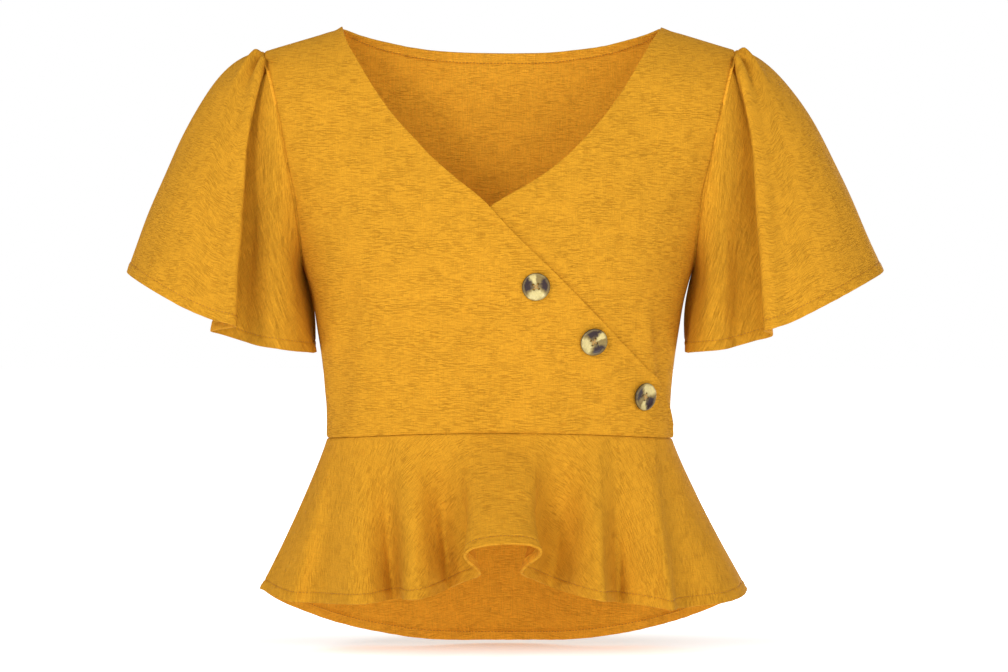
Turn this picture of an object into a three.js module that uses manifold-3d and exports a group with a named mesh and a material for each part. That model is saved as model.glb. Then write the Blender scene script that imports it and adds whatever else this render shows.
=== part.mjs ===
// A short-sleeved wrap blouse with a V neck, flutter sleeves, a fluted peplum and three buttons,
// filled out as if worn. Millimetres, +Z up, the front faces -Y, +X is the wearer's left.
// The origin is midway between the two high points of the shoulders, where the neck carries it.
import * as THREE from 'three';
import { mergeVertices } from 'three/addons/utils/BufferGeometryUtils.js';
import Module from 'manifold-3d';

const wasm = await Module();
wasm.setup();

// Cloth
const CLOTH_WALL = 1.2;
const HEM_WALL = 2.2;
const SEAM_GAP = 0.3;
const ARMHOLE_GAP = 1.1;
const LAP_GAP = 0.8;
const LAP_LIFT = CLOTH_WALL + LAP_GAP;

// Neck, shoulders and waist
const NECK_HALF = 140;
const SHOULDER_SLOPE = 0.2985;
const SHOULDER_ROUND = 70;
const SHOULDER_TIP = 207;
const BODY_MIDDLE = -2.2;
const BACK_NECK_DROP = 17.5;
const WAIST_HEIGHT = -360;
const WAIST_FRONT_RISE = 6;
const UNDERARM_HEIGHT = -212;
const SECTION_POWER = 2.4;

// The body of the blouse, a row for each section
const SECTIONS = [
  { height: -360, halfWidth: 150, frontDepth: 93, backDepth: 92 },
  { height: -330, halfWidth: 150.5, frontDepth: 95, backDepth: 92 },
  { height: -296, halfWidth: 153.3, frontDepth: 102, backDepth: 95 },
  { height: -264, halfWidth: 158, frontDepth: 111, backDepth: 99 },
  { height: -234, halfWidth: 163.3, frontDepth: 120, backDepth: 104 },
  { height: UNDERARM_HEIGHT, halfWidth: 170, frontDepth: 124, backDepth: 107 },
  { height: -160, halfWidth: 190, frontDepth: 119, backDepth: 107 },
  { height: -113, halfWidth: 212, frontDepth: 104, backDepth: 99 },
  { height: -63, halfWidth: 236, frontDepth: 87, backDepth: 85 },
  { height: -20, halfWidth: 250, frontDepth: 75, backDepth: 71 },
  { height: 45, halfWidth: 268, frontDepth: 68, backDepth: 64 },
];

// The armhole seam, the free edge of the front that laps over, and of the one beneath it
const ARMHOLE = [
  { height: UNDERARM_HEIGHT, out: 170 },
  { height: -195, out: 170.5 },
  { height: -160, out: 174.5 },
  { height: -113, out: 184 },
  { height: -63, out: 195 },
  { height: -40, out: 201 },
  { height: -20, out: SHOULDER_TIP },
];
const OVER_EDGE = [
  { height: -360, across: 147 },
  { height: -343, across: 145.6 },
  { height: -326, across: 141.5 },
  { height: -316, across: 137.6 },
  { height: -307, across: 130.5 },
  { height: -283, across: 108.5 },
  { height: -249, across: 76.5 },
  { height: -215, across: 42.8 },
  { height: -181, across: 7.2 },
  { height: -155, across: -17.2 },
  { height: -138, across: -38.2 },
  { height: -121, across: -57.8 },
  { height: -103, across: -74.4 },
  { height: -86, across: -89.8 },
  { height: -68, across: -103.2 },
  { height: -32, across: -125.5 },
  { height: -13, across: -135.8 },
  { height: 0, across: -NECK_HALF },
];
const UNDER_EDGE = [
  { height: -360, across: -146 },
  { height: -330, across: -141 },
  { height: -300, across: -121 },
  { height: -255, across: -84 },
  { height: -205, across: -46 },
  { height: -160, across: -8.5 },
  { height: -138, across: 28.2 },
  { height: -121, across: 51.2 },
  { height: -103, across: 69.6 },
  { height: -86, across: 84.8 },
  { height: -68, across: 98.2 },
  { height: -32, across: 120.4 },
  { height: -13, across: 131.5 },
  { height: 0, across: NECK_HALF },
];

// Soft creases of the front and the back, each along a line seen from that side
const FRONT_CREASES = [
  { fromX: -129, fromZ: -215, toX: -145, toZ: -350, width: 12, height: -4 },
  { fromX: -141, fromZ: -245, toX: -150, toZ: -325, width: 8, height: 2.5 },
  { fromX: 28, fromZ: -300, toX: 27, toZ: -352, width: 12, height: 2.4 },
  { fromX: 124, fromZ: -250, toX: 131, toZ: -312, width: 7, height: 3.2 },
  { fromX: 134, fromZ: -255, toX: 141, toZ: -330, width: 7, height: -4 },
  { fromX: -172, fromZ: -130, toX: -140, toZ: -185, width: 12, height: -2 },
  { fromX: 172, fromZ: -130, toX: 142, toZ: -180, width: 12, height: -2 },
];
const BACK_CREASES = [
  { fromX: -60, fromZ: -250, toX: -74, toZ: -352, width: 13, height: 3 },
  { fromX: 66, fromZ: -262, toX: 78, toZ: -352, width: 13, height: 3 },
  { fromX: -104, fromZ: -285, toX: -112, toZ: -352, width: 10, height: -2.5 },
  { fromX: 108, fromZ: -275, toX: 116, toZ: -352, width: 10, height: -2.5 },
  { fromX: -165, fromZ: -135, toX: -130, toZ: -200, width: 13, height: -2.5 },
  { fromX: 165, fromZ: -140, toX: 132, toZ: -208, width: 13, height: -2.5 },
];

// How the sleeve cloth springs from the armhole: around is 0 at the underarm and 0.5 at the shoulder
const SLEEVE_SPRING = [
  { around: 0, out: -9.5, side: 0, up: -30 },
  { around: 0.06, out: 7, side: 7, up: -13 },
  { around: 0.12, out: 11, side: 12, up: -10 },
  { around: 0.19, out: 18, side: 9, up: -14 },
  { around: 0.26, out: 20, side: 5, up: -15 },
  { around: 0.33, out: 17, side: 2, up: -18 },
  { around: 0.375, out: 18, side: 2, up: -17 },
  { around: 0.405, out: 17, side: 10, up: -15 },
  { around: 0.43, out: 13, side: 34, up: -13 },
  { around: 0.452, out: 26, side: 31, up: -9 },
  { around: 0.475, out: 37, side: 24, up: -6 },
  { around: 0.488, out: 43, side: 14, up: -4 },
  { around: 0.5, out: 50, side: 0, up: -2 },
];
const SLEEVE_DROOP = 0.45;

// The hem of each sleeve, a row for each turn that its cloth makes; front is towards the viewer
const RIGHT_SLEEVE_HEM = [
  { around: 0, out: 164, front: 0, up: -284 },
  { around: 0.06, out: 162, front: 32, up: -285 },
  { around: 0.12, out: 174, front: 54, up: -284.7 },
  { around: 0.2, out: 196, front: 68, up: -281.8 },
  { around: 0.26, out: 213, front: 58, up: -279 },
  { around: 0.3, out: 225, front: 50, up: -275.4 },
  { around: 0.34, out: 240, front: 52, up: -270.6 },
  { around: 0.375, out: 250, front: 64, up: -267 },
  { around: 0.405, out: 241, front: 84, up: -265.5 },
  { around: 0.43, out: 226.5, front: 110, up: -262.4 },
  { around: 0.442, out: 235, front: 114, up: -259.8 },
  { around: 0.452, out: 248, front: 108, up: -256.6 },
  { around: 0.462, out: 267, front: 103, up: -249.2 },
  { around: 0.475, out: 290, front: 91, up: -237.6 },
  { around: 0.487, out: 313, front: 66, up: -224.6 },
  { around: 0.494, out: 325, front: 38, up: -217.5 },
  { around: 0.5, out: 330, front: 0, up: -214 },
  { around: 0.513, out: 322, front: -40, up: -220 },
  { around: 0.53, out: 296, front: -70, up: -234 },
  { around: 0.55, out: 262, front: -92, up: -249 },
  { around: 0.575, out: 236, front: -86, up: -259 },
  { around: 0.62, out: 222, front: -70, up: -267 },
  { around: 0.7, out: 206, front: -74, up: -275 },
  { around: 0.8, out: 186, front: -62, up: -281 },
  { around: 0.9, out: 167, front: -36, up: -285 },
  { around: 1, out: 164, front: 0, up: -284 },
];
const LEFT_SLEEVE_HEM = [
  { around: 0, out: 162, front: 0, up: -284 },
  { around: 0.06, out: 160, front: 33, up: -285 },
  { around: 0.12, out: 171, front: 56, up: -284.6 },
  { around: 0.2, out: 190, front: 62, up: -282.9 },
  { around: 0.28, out: 205, front: 50, up: -279.4 },
  { around: 0.34, out: 220, front: 53, up: -275.1 },
  { around: 0.375, out: 232, front: 62, up: -271.5 },
  { around: 0.405, out: 230, front: 81, up: -268.6 },
  { around: 0.43, out: 224, front: 106, up: -266 },
  { around: 0.442, out: 234, front: 109, up: -263.7 },
  { around: 0.452, out: 246, front: 102, up: -259.7 },
  { around: 0.462, out: 264, front: 98, up: -251.2 },
  { around: 0.475, out: 291, front: 86, up: -237.6 },
  { around: 0.487, out: 317, front: 60, up: -224 },
  { around: 0.494, out: 330, front: 34, up: -217 },
  { around: 0.5, out: 335, front: 0, up: -213 },
  { around: 0.513, out: 325, front: -38, up: -219 },
  { around: 0.53, out: 300, front: -68, up: -232 },
  { around: 0.555, out: 266, front: -84, up: -248 },
  { around: 0.6, out: 240, front: -90, up: -258 },
  { around: 0.65, out: 222, front: -76, up: -267 },
  { around: 0.74, out: 202, front: -70, up: -277 },
  { around: 0.84, out: 178, front: -54, up: -283 },
  { around: 0.92, out: 164, front: -28, up: -285 },
  { around: 1, out: 162, front: 0, up: -284 },
];

// The small pleats laid in at each sleeve cap: reach is how far down the sleeve they fade out
const CAP_PLEATS = [
  { around: 0.43, width: 0.011, height: 5.5, reach: 0.5 },
  { around: 0.412, width: 0.009, height: -4, reach: 0.5 },
  { around: 0.466, width: 0.008, height: 4.5, reach: 0.4 },
  { around: 0.449, width: 0.006, height: -4.5, reach: 0.35 },
  { around: 0.545, width: 0.011, height: 3.5, reach: 0.35 },
  { around: 0.58, width: 0.012, height: 3, reach: 0.4 },
];
const CAP_PLEAT_RISE = 0.07;

// The hem of the front peplum, a row for each crest, trough and turn; angle is where its line
// of cloth leaves the waist, 0 at the middle and 90 at the wearer's left side
const PEPLUM_HEM = [
  { angle: -90, across: -213, front: 0, up: -493 },
  { angle: -78, across: -192, front: 46, up: -499.5 },
  { angle: -72, across: -182, front: 62, up: -500.8 },
  { angle: -64, across: -165, front: 64, up: -501.2 },
  { angle: -55, across: -139, front: 104, up: -499.8 },
  { angle: -49, across: -126, front: 119, up: -499.2 },
  { angle: -44.5, across: -111, front: 117, up: -498.4 },
  { angle: -41.5, across: -101, front: 102, up: -497.4 },
  { angle: -38.5, across: -93, front: 84, up: -496.8 },
  { angle: -35.5, across: -88, front: 92, up: -495.8 },
  { angle: -30, across: -80, front: 136, up: -494.2 },
  { angle: -27, across: -72, front: 142, up: -493.4 },
  { angle: -23.5, across: -62, front: 132, up: -492 },
  { angle: -20, across: -52, front: 104, up: -490 },
  { angle: -16.5, across: -45, front: 83, up: -487.3 },
  { angle: -14, across: -35, front: 106, up: -481.4 },
  { angle: -11, across: -19, front: 131, up: -473 },
  { angle: -8, across: -31, front: 157, up: -458 },
  { angle: 0, across: 0.5, front: 175, up: -444.5 },
  { angle: 8, across: 32.3, front: 158, up: -456 },
  { angle: 11, across: 17.5, front: 131, up: -471.5 },
  { angle: 14, across: 31, front: 100, up: -480.6 },
  { angle: 17.5, across: 42, front: 84, up: -486.4 },
  { angle: 21, across: 52, front: 96, up: -489.4 },
  { angle: 26, across: 70, front: 134, up: -492.4 },
  { angle: 30, across: 87, front: 146, up: -495 },
  { angle: 32.5, across: 91, front: 124, up: -496.5 },
  { angle: 36, across: 98, front: 92, up: -498.8 },
  { angle: 41, across: 108, front: 98, up: -499.8 },
  { angle: 47, across: 121, front: 108, up: -500.8 },
  { angle: 53, across: 134, front: 116, up: -502.4 },
  { angle: 60, across: 147, front: 121, up: -504 },
  { angle: 63, across: 151, front: 94, up: -504.4 },
  { angle: 67, across: 160, front: 80, up: -503.8 },
  { angle: 74, across: 180, front: 68, up: -502.4 },
  { angle: 81, across: 199, front: 50, up: -500.5 },
  { angle: 86, across: 211, front: 27, up: -497.5 },
  { angle: 90, across: 216, front: 0, up: -494 },
];

// The hem of the back peplum drops to the middle, with shallow flutes
const BACK_HEM = { left: 213, right: 216, depth: 150, height: -493.5, drop: 56.5, dropPower: 1.45 };
const BACK_FLUTES = { count: 5, depth: 13 };
const PEPLUM_FLARE_POWER = 1.12;

// The turns of the peplum's hem are soft near the waist and sharpen on the way down
const SOFT_REACH = 4;
const SOFT_SHARES = [-1, -0.5, 0, 0.5, 1];
const SHARPEN_POWER = 1.2;

const PEPLUM_FRONT_LIFT = 1.4;
const PEPLUM_BACK_LIFT = 0.2;

// Buttons with four holes, on the front that laps over
const BUTTON = {
  radius: 12, rim: 10.2, dish: 7.4, thickness: 3.4, floor: 2.2, holes: 4, holeRadius: 0.95, holeRing: 2.9,
};
const BUTTON_SEGMENTS = 24;
const HOLE_SEGMENTS = 8;
const SEAT_STEPS = 16;
const SEAT_RINGS = [0.5, 0.75, 0.9];
const EDGE_STEPS = 24;
const BUTTON_PLACES = [
  { across: 28.7, height: -228.4, turn: 12 },
  { across: 77.5, height: -275.1, turn: 40 },
  { across: 120.6, height: -322.8, turn: 65 },
];

// Grid of each piece
const GRID = {
  front: { columns: 32, lowerRows: 12, shoulderRows: 4 },
  back: { columns: 28, lowerRows: 11, shoulderRows: 4 },
  sleeve: { longestStep: 0.035 },
  peplum: { longestStep: 3.2, backColumns: 32 },
};
const SLEEVE_ROWS = [0, 0.035, 0.09, 0.17, 0.27, 0.39, 0.52, 0.66, 0.8, 0.93, 0.962, 1];
const PEPLUM_ROWS = [0, 0.1, 0.24, 0.4, 0.56, 0.72, 0.86, 0.93, 0.945, 1];
const HEM_START = 0.94;
const SLEEVE_HEM_START = 0.96;

const MUSTARD = '#d9962b';
const HORN = '#8a744c';

const lerp = (from, to, at) => from + (to - from) * at;
const clamp = (value, low, high) => Math.min(high, Math.max(low, value));
const radians = (degrees) => (degrees * Math.PI) / 180;
const smooth = (value) => value * value * (3 - 2 * value);

// A smooth curve through the rows of a table, read by one of its columns
function readTable(rows, key, column, at) {
  const last = rows.length - 1;
  const rising = rows[last][key] > rows[0][key] ? 1 : -1;
  let index = 0;
  while (index < last - 1 && (at - rows[index + 1][key]) * rising > 0) index += 1;
  const slope = (i) => {
    const before = Math.max(i - 1, 0);
    const after = Math.min(i + 1, last);
    if (before === i || after === i) {
      return (rows[after][column] - rows[before][column]) / (rows[after][key] - rows[before][key]);
    }
    const spanBefore = rows[i][key] - rows[before][key];
    const spanAfter = rows[after][key] - rows[i][key];
    const slopeBefore = (rows[i][column] - rows[before][column]) / spanBefore;
    const slopeAfter = (rows[after][column] - rows[i][column]) / spanAfter;
    return (slopeBefore * spanAfter + slopeAfter * spanBefore) / (spanBefore + spanAfter);
  };
  const span = rows[index + 1][key] - rows[index][key];
  const part = clamp((at - rows[index][key]) / span, 0, 1);
  const square = part * part;
  const cube = square * part;
  return (2 * cube - 3 * square + 1) * rows[index][column]
    + (cube - 2 * square + part) * span * slope(index)
    + (3 * square - 2 * cube) * rows[index + 1][column]
    + (cube - square) * span * slope(index + 1);
}

// The top line of the shoulders, carried on over the neck
const shoulderLine = (x) => (NECK_HALF - Math.abs(x)) * SHOULDER_SLOPE;

const waistLine = (x, isBack) => (isBack ? WAIST_HEIGHT
  : WAIST_HEIGHT + WAIST_FRONT_RISE * (1 - ((x - BODY_MIDDLE) / SECTIONS[0].halfWidth) ** 2));

function topLine(x, isBack) {
  const nearNeck = Math.abs(x) / NECK_HALF;
  return isBack && nearNeck < 1 ? -BACK_NECK_DROP * (1 - nearNeck ** 2.6) : shoulderLine(x);
}

// Depth falls to nothing at the shoulder line, along a quarter round
function shoulderRoll(x, height) {
  const below = clamp((shoulderLine(x) - height) / SHOULDER_ROUND, 0, 1);
  return Math.sqrt(1 - (1 - below) ** 2);
}

// How far a crease lifts or sinks the cloth, measured from its line
function creaseHeight(creases, x, z) {
  let total = 0;
  for (const crease of creases) {
    const runX = crease.toX - crease.fromX;
    const runZ = crease.toZ - crease.fromZ;
    const along = ((x - crease.fromX) * runX + (z - crease.fromZ) * runZ) / (runX ** 2 + runZ ** 2);
    const nearest = clamp(along, 0, 1);
    const away = Math.hypot(x - crease.fromX - nearest * runX, z - crease.fromZ - nearest * runZ);
    const fade = smooth(clamp(Math.min(along * 3 + 0.4, (1 - along) * 4 + 0.6), 0, 1));
    total += crease.height * fade * Math.exp(-((away / crease.width) ** 2));
  }
  return total;
}

// A point of the bare body: angle is 0 at the middle of the front and 90 at the wearer's left
function bodyPoint(angle, height) {
  const turn = radians(angle);
  const isBack = Math.cos(turn) < 0;
  const halfWidth = readTable(SECTIONS, 'height', 'halfWidth', height);
  const depth = readTable(SECTIONS, 'height', isBack ? 'backDepth' : 'frontDepth', height);
  const power = 2 / SECTION_POWER;
  const x = halfWidth * Math.sign(Math.sin(turn)) * Math.abs(Math.sin(turn)) ** power;
  const y = depth * Math.sign(-Math.cos(turn)) * Math.abs(Math.cos(turn)) ** power;
  const across = BODY_MIDDLE + x;
  const creases = creaseHeight(isBack ? BACK_CREASES : FRONT_CREASES, across, height);
  const point = new THREE.Vector3(across, y * shoulderRoll(across, height), height);
  const fromMiddle = new THREE.Vector3(x / halfWidth, y / depth, 0);
  return point.addScaledVector(fromMiddle, creases * Math.abs(Math.cos(turn)) ** 0.5);
}

// The outward normal of the bare body; on the seam between front and back it lies across it
function bodyNormal(angle, height) {
  const step = 0.05;
  const rise = 0.05;
  const isSeam = Math.abs(Math.abs(angle) - 90) < 0.5;
  const around = bodyPoint(angle + step, height - rise).sub(bodyPoint(angle - step, height - rise));
  const upwards = bodyPoint(angle, height).sub(bodyPoint(angle, height - 2 * rise));
  const normal = around.cross(upwards).normalize();
  if (isSeam) normal.setY(0).normalize();
  return normal;
}

// The angle at which the body has a given distance across
function angleAt(x, height) {
  const halfWidth = readTable(SECTIONS, 'height', 'halfWidth', height);
  const fromMiddle = x - BODY_MIDDLE;
  const part = clamp(Math.abs(fromMiddle) / halfWidth, 0, 1) ** (SECTION_POWER / 2);
  return (Math.sign(fromMiddle) * Math.asin(part) * 180) / Math.PI;
}

// The height of a row at an angle, row 0 at the waist and row 1 at the top
function rowHeight(angle, row, isBack) {
  let height = lerp(WAIST_HEIGHT, 0, row);
  for (let pass = 0; pass < 6; pass += 1) {
    const x = bodyPoint(angle, height).x;
    height = lerp(waistLine(x, isBack), topLine(x, isBack), row);
  }
  return height;
}

// Where a row meets an edge that is given as a distance across for each height
function edgeAngle(across, row, isBack) {
  let height = lerp(WAIST_HEIGHT, 0, row);
  let x = across(height);
  for (let pass = 0; pass < 12; pass += 1) {
    height = lerp(waistLine(x, isBack), topLine(x, isBack), row);
    x = across(height);
  }
  const angle = angleAt(x, height);
  return isBack ? Math.sign(angle) * 180 - angle : angle;
}

// Side seam below the underarm, armhole above it; side is 1 for the wearer's left
function sideAcross(side, height) {
  const out = height < UNDERARM_HEIGHT ? readTable(SECTIONS, 'height', 'halfWidth', height)
    : readTable(ARMHOLE, 'height', 'out', height);
  return BODY_MIDDLE + side * out;
}

// Rows from the waist up, closer together where the shoulder rounds over
function bodyRows({ lowerRows, shoulderRows }) {
  const shoulderShare = SHOULDER_ROUND / -WAIST_HEIGHT;
  const rows = [];
  for (let i = 0; i < lowerRows; i += 1) rows.push(lerp(0, 1 - shoulderShare, i / lowerRows));
  for (let i = 0; i <= shoulderRows; i += 1) {
    const turn = (Math.PI / 2) * (1 - i / shoulderRows);
    rows.push(1 - shoulderShare * (1 - Math.cos(turn)));
  }
  return rows;
}

// Closes a grid of points into a wall: each point goes inwards along its own normal
function clothWall(grid, isTube) {
  const rows = grid.length;
  const columns = grid[0].length;
  const positions = [];
  for (const row of grid) for (const { outer } of row) positions.push(outer.x, outer.y, outer.z);
  for (const row of grid) {
    for (const { outer, normal, wall } of row) {
      const inner = outer.clone().addScaledVector(normal, -wall);
      positions.push(inner.x, inner.y, inner.z);
    }
  }
  const innerStart = rows * columns;
  const indices = [];
  const quad = (a, b, c, d) => indices.push(a, b, c, a, c, d);
  const at = (row, column) => row * columns + (column % columns);
  const spans = isTube ? columns : columns - 1;
  for (let row = 0; row < rows - 1; row += 1) {
    for (let column = 0; column < spans; column += 1) {
      const corners = [at(row, column), at(row, column + 1), at(row + 1, column + 1), at(row + 1, column)];
      quad(...corners);
      quad(...corners.reverse().map((corner) => corner + innerStart));
    }
  }
  for (let column = 0; column < spans; column += 1) {
    const bottom = [at(0, column), at(0, column + 1)];
    const top = [at(rows - 1, column), at(rows - 1, column + 1)];
    quad(bottom[0], bottom[0] + innerStart, bottom[1] + innerStart, bottom[1]);
    quad(top[0], top[1], top[1] + innerStart, top[0] + innerStart);
  }
  if (!isTube) {
    for (let row = 0; row < rows - 1; row += 1) {
      const left = [at(row, 0), at(row + 1, 0)];
      const right = [at(row, columns - 1), at(row + 1, columns - 1)];
      quad(left[0], left[1], left[1] + innerStart, left[0] + innerStart);
      quad(right[0], right[0] + innerStart, right[1] + innerStart, right[1]);
    }
  }
  const geometry = new THREE.BufferGeometry();
  geometry.setAttribute('position', new THREE.Float32BufferAttribute(positions, 3));
  geometry.setIndex(facingOut(positions, indices));
  geometry.computeVertexNormals();
  return geometry;
}

// Turns every triangle round where the solid would be inside out
function facingOut(positions, indices) {
  const corner = (i) => new THREE.Vector3().fromArray(positions, indices[i] * 3);
  let volume = 0;
  for (let i = 0; i < indices.length; i += 3) volume += corner(i).dot(corner(i + 1).cross(corner(i + 2)));
  return volume > 0 ? indices : indices.reverse();
}

function clothMesh(name, geometry) {
  const material = new THREE.MeshStandardMaterial({ color: MUSTARD, roughness: 0.9, metalness: 0 });
  const mesh = new THREE.Mesh(geometry, material);
  mesh.name = name;
  return mesh;
}

// A panel of the body from side to side; the front ones run on over the neck and are then cut
function bodyPanel({ grid, lift, isBack = false }) {
  const halfGap = SEAM_GAP / 2;
  const rows = bodyRows(grid).map((row, rowIndex, all) => {
    const first = isBack ? 1 : -1;
    const left = edgeAngle((height) => sideAcross(first, height), row, isBack);
    const right = edgeAngle((height) => sideAcross(-first, height), row, isBack) + (isBack ? 360 : 0);
    return Array.from({ length: grid.columns + 1 }, (_, column) => {
      const angle = lerp(left, right, column / grid.columns);
      const height = rowHeight(angle, row, isBack);
      const normal = bodyNormal(angle, height);
      const outer = bodyPoint(angle, height).addScaledVector(normal, lift(height));
      const onSeam = Math.abs(outer.y) < halfGap;
      if (rowIndex === 0) outer.z += halfGap;
      if (rowIndex === all.length - 1) normal.setY(0).normalize();
      if (onSeam) outer.y = isBack ? halfGap : -halfGap;
      return { outer, normal, wall: CLOTH_WALL };
    });
  });
  return clothWall(rows, false);
}

// The front that laps over stands off the one beneath it, below the neck
const overLift = (height) => LAP_LIFT * smooth(clamp((-60 - height) / 80, 0, 1));
const noLift = () => 0;

// What lies past a front's free edge, towards the side that the edge's hand gives
function pastEdge(edge, hand) {
  const far = 300;
  const lowest = WAIST_HEIGHT - 10;
  const outline = [new THREE.Vector2(edge[0].across, lowest)];
  for (let step = 0; step <= EDGE_STEPS; step += 1) {
    const height = lerp(edge[0].height, 0, step / EDGE_STEPS);
    outline.push(new THREE.Vector2(readTable(edge, 'height', 'across', height), height));
  }
  outline.push(new THREE.Vector2(-hand * NECK_HALF, far));
  outline.push(new THREE.Vector2(hand * far, far), new THREE.Vector2(hand * far, lowest));
  const prism = new THREE.ExtrudeGeometry(new THREE.Shape(outline), { depth: far, bevelEnabled: false });
  return prism.rotateX(Math.PI / 2).translate(0, 10, 0);
}

function frontPanel(name, edge, hand, lift) {
  const whole = toSolid(bodyPanel({ grid: GRID.front, lift }));
  return clothMesh(name, fromSolid(whole.subtract(toSolid(pastEdge(edge, hand)))));
}

// A point of the armhole of one side; hand is -1 for the wearer's right
function armholeAt(around, hand, lift) {
  const isBack = around > 0.5;
  const tip = BODY_MIDDLE + hand * SHOULDER_TIP;
  if (around === 0.5) return new THREE.Vector3(tip, 0, shoulderLine(tip));
  const rise = (1 - Math.cos(radians(360 * around))) / 2;
  const height = lerp(UNDERARM_HEIGHT, shoulderLine(tip), rise);
  const across = sideAcross(hand, height);
  let angle = around === 0 ? hand * 90 : angleAt(across, height);
  if (isBack) angle = hand * 180 - angle;
  const point = bodyPoint(angle, height);
  point.x = across;
  return point.addScaledVector(bodyNormal(angle, height), isBack ? 0 : lift(height));
}

function springAt(around) {
  const mirrored = around > 0.5 ? 1 - around : around;
  const side = around > 0.5 ? 1 : -1;
  const read = (column) => readTable(SLEEVE_SPRING, 'around', column, mirrored);
  return { out: read('out'), side: side * read('side'), up: read('up') };
}

function pleatHeight(around, down) {
  let total = 0;
  for (const pleat of CAP_PLEATS) {
    const rise = smooth(clamp(down / CAP_PLEAT_RISE, 0, 1));
    const fall = 1 - smooth(clamp(down / pleat.reach, 0, 1));
    total += pleat.height * rise * fall * Math.exp(-(((around - pleat.around) / pleat.width) ** 2));
  }
  return total;
}

// A point of a sleeve: around runs round the arm and down from the armhole to the hem
function sleevePoint(hem, hand, lift, around, down) {
  const turn = ((around % 1) + 1) % 1;
  const start = armholeAt(turn, hand, lift);
  const spring = springAt(turn);
  const read = (column) => readTable(hem, 'around', column, turn);
  start.x += hand * ARMHOLE_GAP;
  const first = new THREE.Vector3(start.x + hand * spring.out, start.y + spring.side, start.z + spring.up);
  const end = new THREE.Vector3(hand * read('out'), -read('front'), read('up'));
  const second = end.clone().lerp(first, SLEEVE_DROOP);
  return new THREE.CubicBezierCurve3(start, first, second, end).getPoint(down);
}

function sleeve(name, hem, hand, lift) {
  const stations = stationsAlong(hem, 'around', GRID.sleeve.longestStep);
  stations.pop();
  const place = (around, down) => sleevePoint(hem, hand, lift, around, down);
  const rows = SLEEVE_ROWS.map((down) => stations.map((around) => {
    const step = 0.0015;
    const along = place(around + step, down).sub(place(around - step, down));
    const downwards = place(around, Math.min(down + 0.01, 1)).sub(place(around, Math.max(down - 0.01, 0)));
    const normal = along.cross(downwards).multiplyScalar(hand).normalize();
    const outer = place(around, down);
    outer.addScaledVector(normal, pleatHeight(around, down));
    return { outer, normal, wall: down > SLEEVE_HEM_START ? HEM_WALL : CLOTH_WALL };
  }));
  return clothMesh(name, clothWall(rows, true));
}

function frontHem(angle) {
  const read = (column) => readTable(PEPLUM_HEM, 'angle', column, angle);
  return new THREE.Vector3(read('across'), -read('front'), read('up'));
}

// A point of the front peplum: angle along the waist, down from the waist to the hem
function frontPeplumPoint(angle, down) {
  const height = rowHeight(angle, 0, false);
  const waist = bodyPoint(angle, height).addScaledVector(bodyNormal(angle, height), PEPLUM_FRONT_LIFT);
  const reach = Math.min(SOFT_REACH, 90 - Math.abs(angle));
  const soft = new THREE.Vector3();
  for (const share of SOFT_SHARES) soft.add(frontHem(angle + share * reach));
  soft.divideScalar(SOFT_SHARES.length);
  return fall(waist, soft.lerp(frontHem(angle), down ** SHARPEN_POWER), down);
}

function backPeplumPoint(angle, down) {
  const height = WAIST_HEIGHT;
  const waist = bodyPoint(angle, height).addScaledVector(bodyNormal(angle, height), PEPLUM_BACK_LIFT);
  const power = 2 / SECTION_POWER;
  const sine = Math.sin(radians(angle));
  const cosine = Math.abs(Math.cos(radians(angle)));
  const halfWidth = sine > 0 ? BACK_HEM.right : BACK_HEM.left;
  const flute = BACK_FLUTES.depth * Math.cos(radians(angle * 2 * BACK_FLUTES.count)) * cosine;
  const hem = new THREE.Vector3(
    (halfWidth + flute * 0.3) * Math.sign(sine) * Math.abs(sine) ** power,
    (BACK_HEM.depth + flute) * cosine ** power,
    BACK_HEM.height - BACK_HEM.drop * cosine ** BACK_HEM.dropPower,
  );
  return fall(waist, hem, down);
}

// Cloth that hangs from the waist, a little hollow at first and then straight
function fall(waist, hem, down) {
  const flare = down ** PEPLUM_FLARE_POWER;
  return new THREE.Vector3(
    lerp(waist.x, hem.x, flare),
    lerp(waist.y, hem.y, flare),
    lerp(waist.z - SEAM_GAP / 2, hem.z, down),
  );
}

function peplum(name, angles, place, seamSide) {
  const rows = PEPLUM_ROWS.map((down) => angles.map((angle, column) => {
    const isEnd = column === 0 || column === angles.length - 1;
    const step = 0.05;
    const before = isEnd && column === 0 ? angle : angle - step * Math.sign(angles[1] - angles[0]);
    const after = isEnd && column > 0 ? angle : angle + step * Math.sign(angles[1] - angles[0]);
    const along = place(after, down).sub(place(before, down));
    const downwards = place(angle, Math.min(down + 0.01, 1)).sub(place(angle, Math.max(down - 0.01, 0)));
    const normal = downwards.cross(along).normalize();
    const outer = place(angle, down);
    if (isEnd) {
      normal.setY(0).normalize();
      outer.y = seamSide * SEAM_GAP * 0.5;
    }
    if (down === 0) normal.setZ(0).normalize();
    return { outer, normal, wall: down > HEM_START ? HEM_WALL : CLOTH_WALL };
  }));
  return clothMesh(name, clothWall(rows, false));
}

// Every row of a table, with even steps between two rows that lie far apart, and always one between
function stationsAlong(rows, key, longestStep) {
  const stations = [];
  for (let i = 0; i < rows.length - 1; i += 1) {
    const span = rows[i + 1][key] - rows[i][key];
    const parts = Math.max(2, Math.ceil(span / longestStep));
    for (let part = 0; part < parts; part += 1) stations.push(rows[i][key] + (span * part) / parts);
  }
  stations.push(rows[rows.length - 1][key]);
  return stations;
}

function frontPeplum() {
  const angles = stationsAlong(PEPLUM_HEM, 'angle', GRID.peplum.longestStep);
  return peplum('peplum_front', angles, frontPeplumPoint, -1);
}

function backPeplum() {
  const columns = GRID.peplum.backColumns;
  const angles = Array.from({ length: columns + 1 }, (_, i) => lerp(90, 270, i / columns));
  return peplum('peplum_back', angles, backPeplumPoint, 1);
}

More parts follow.
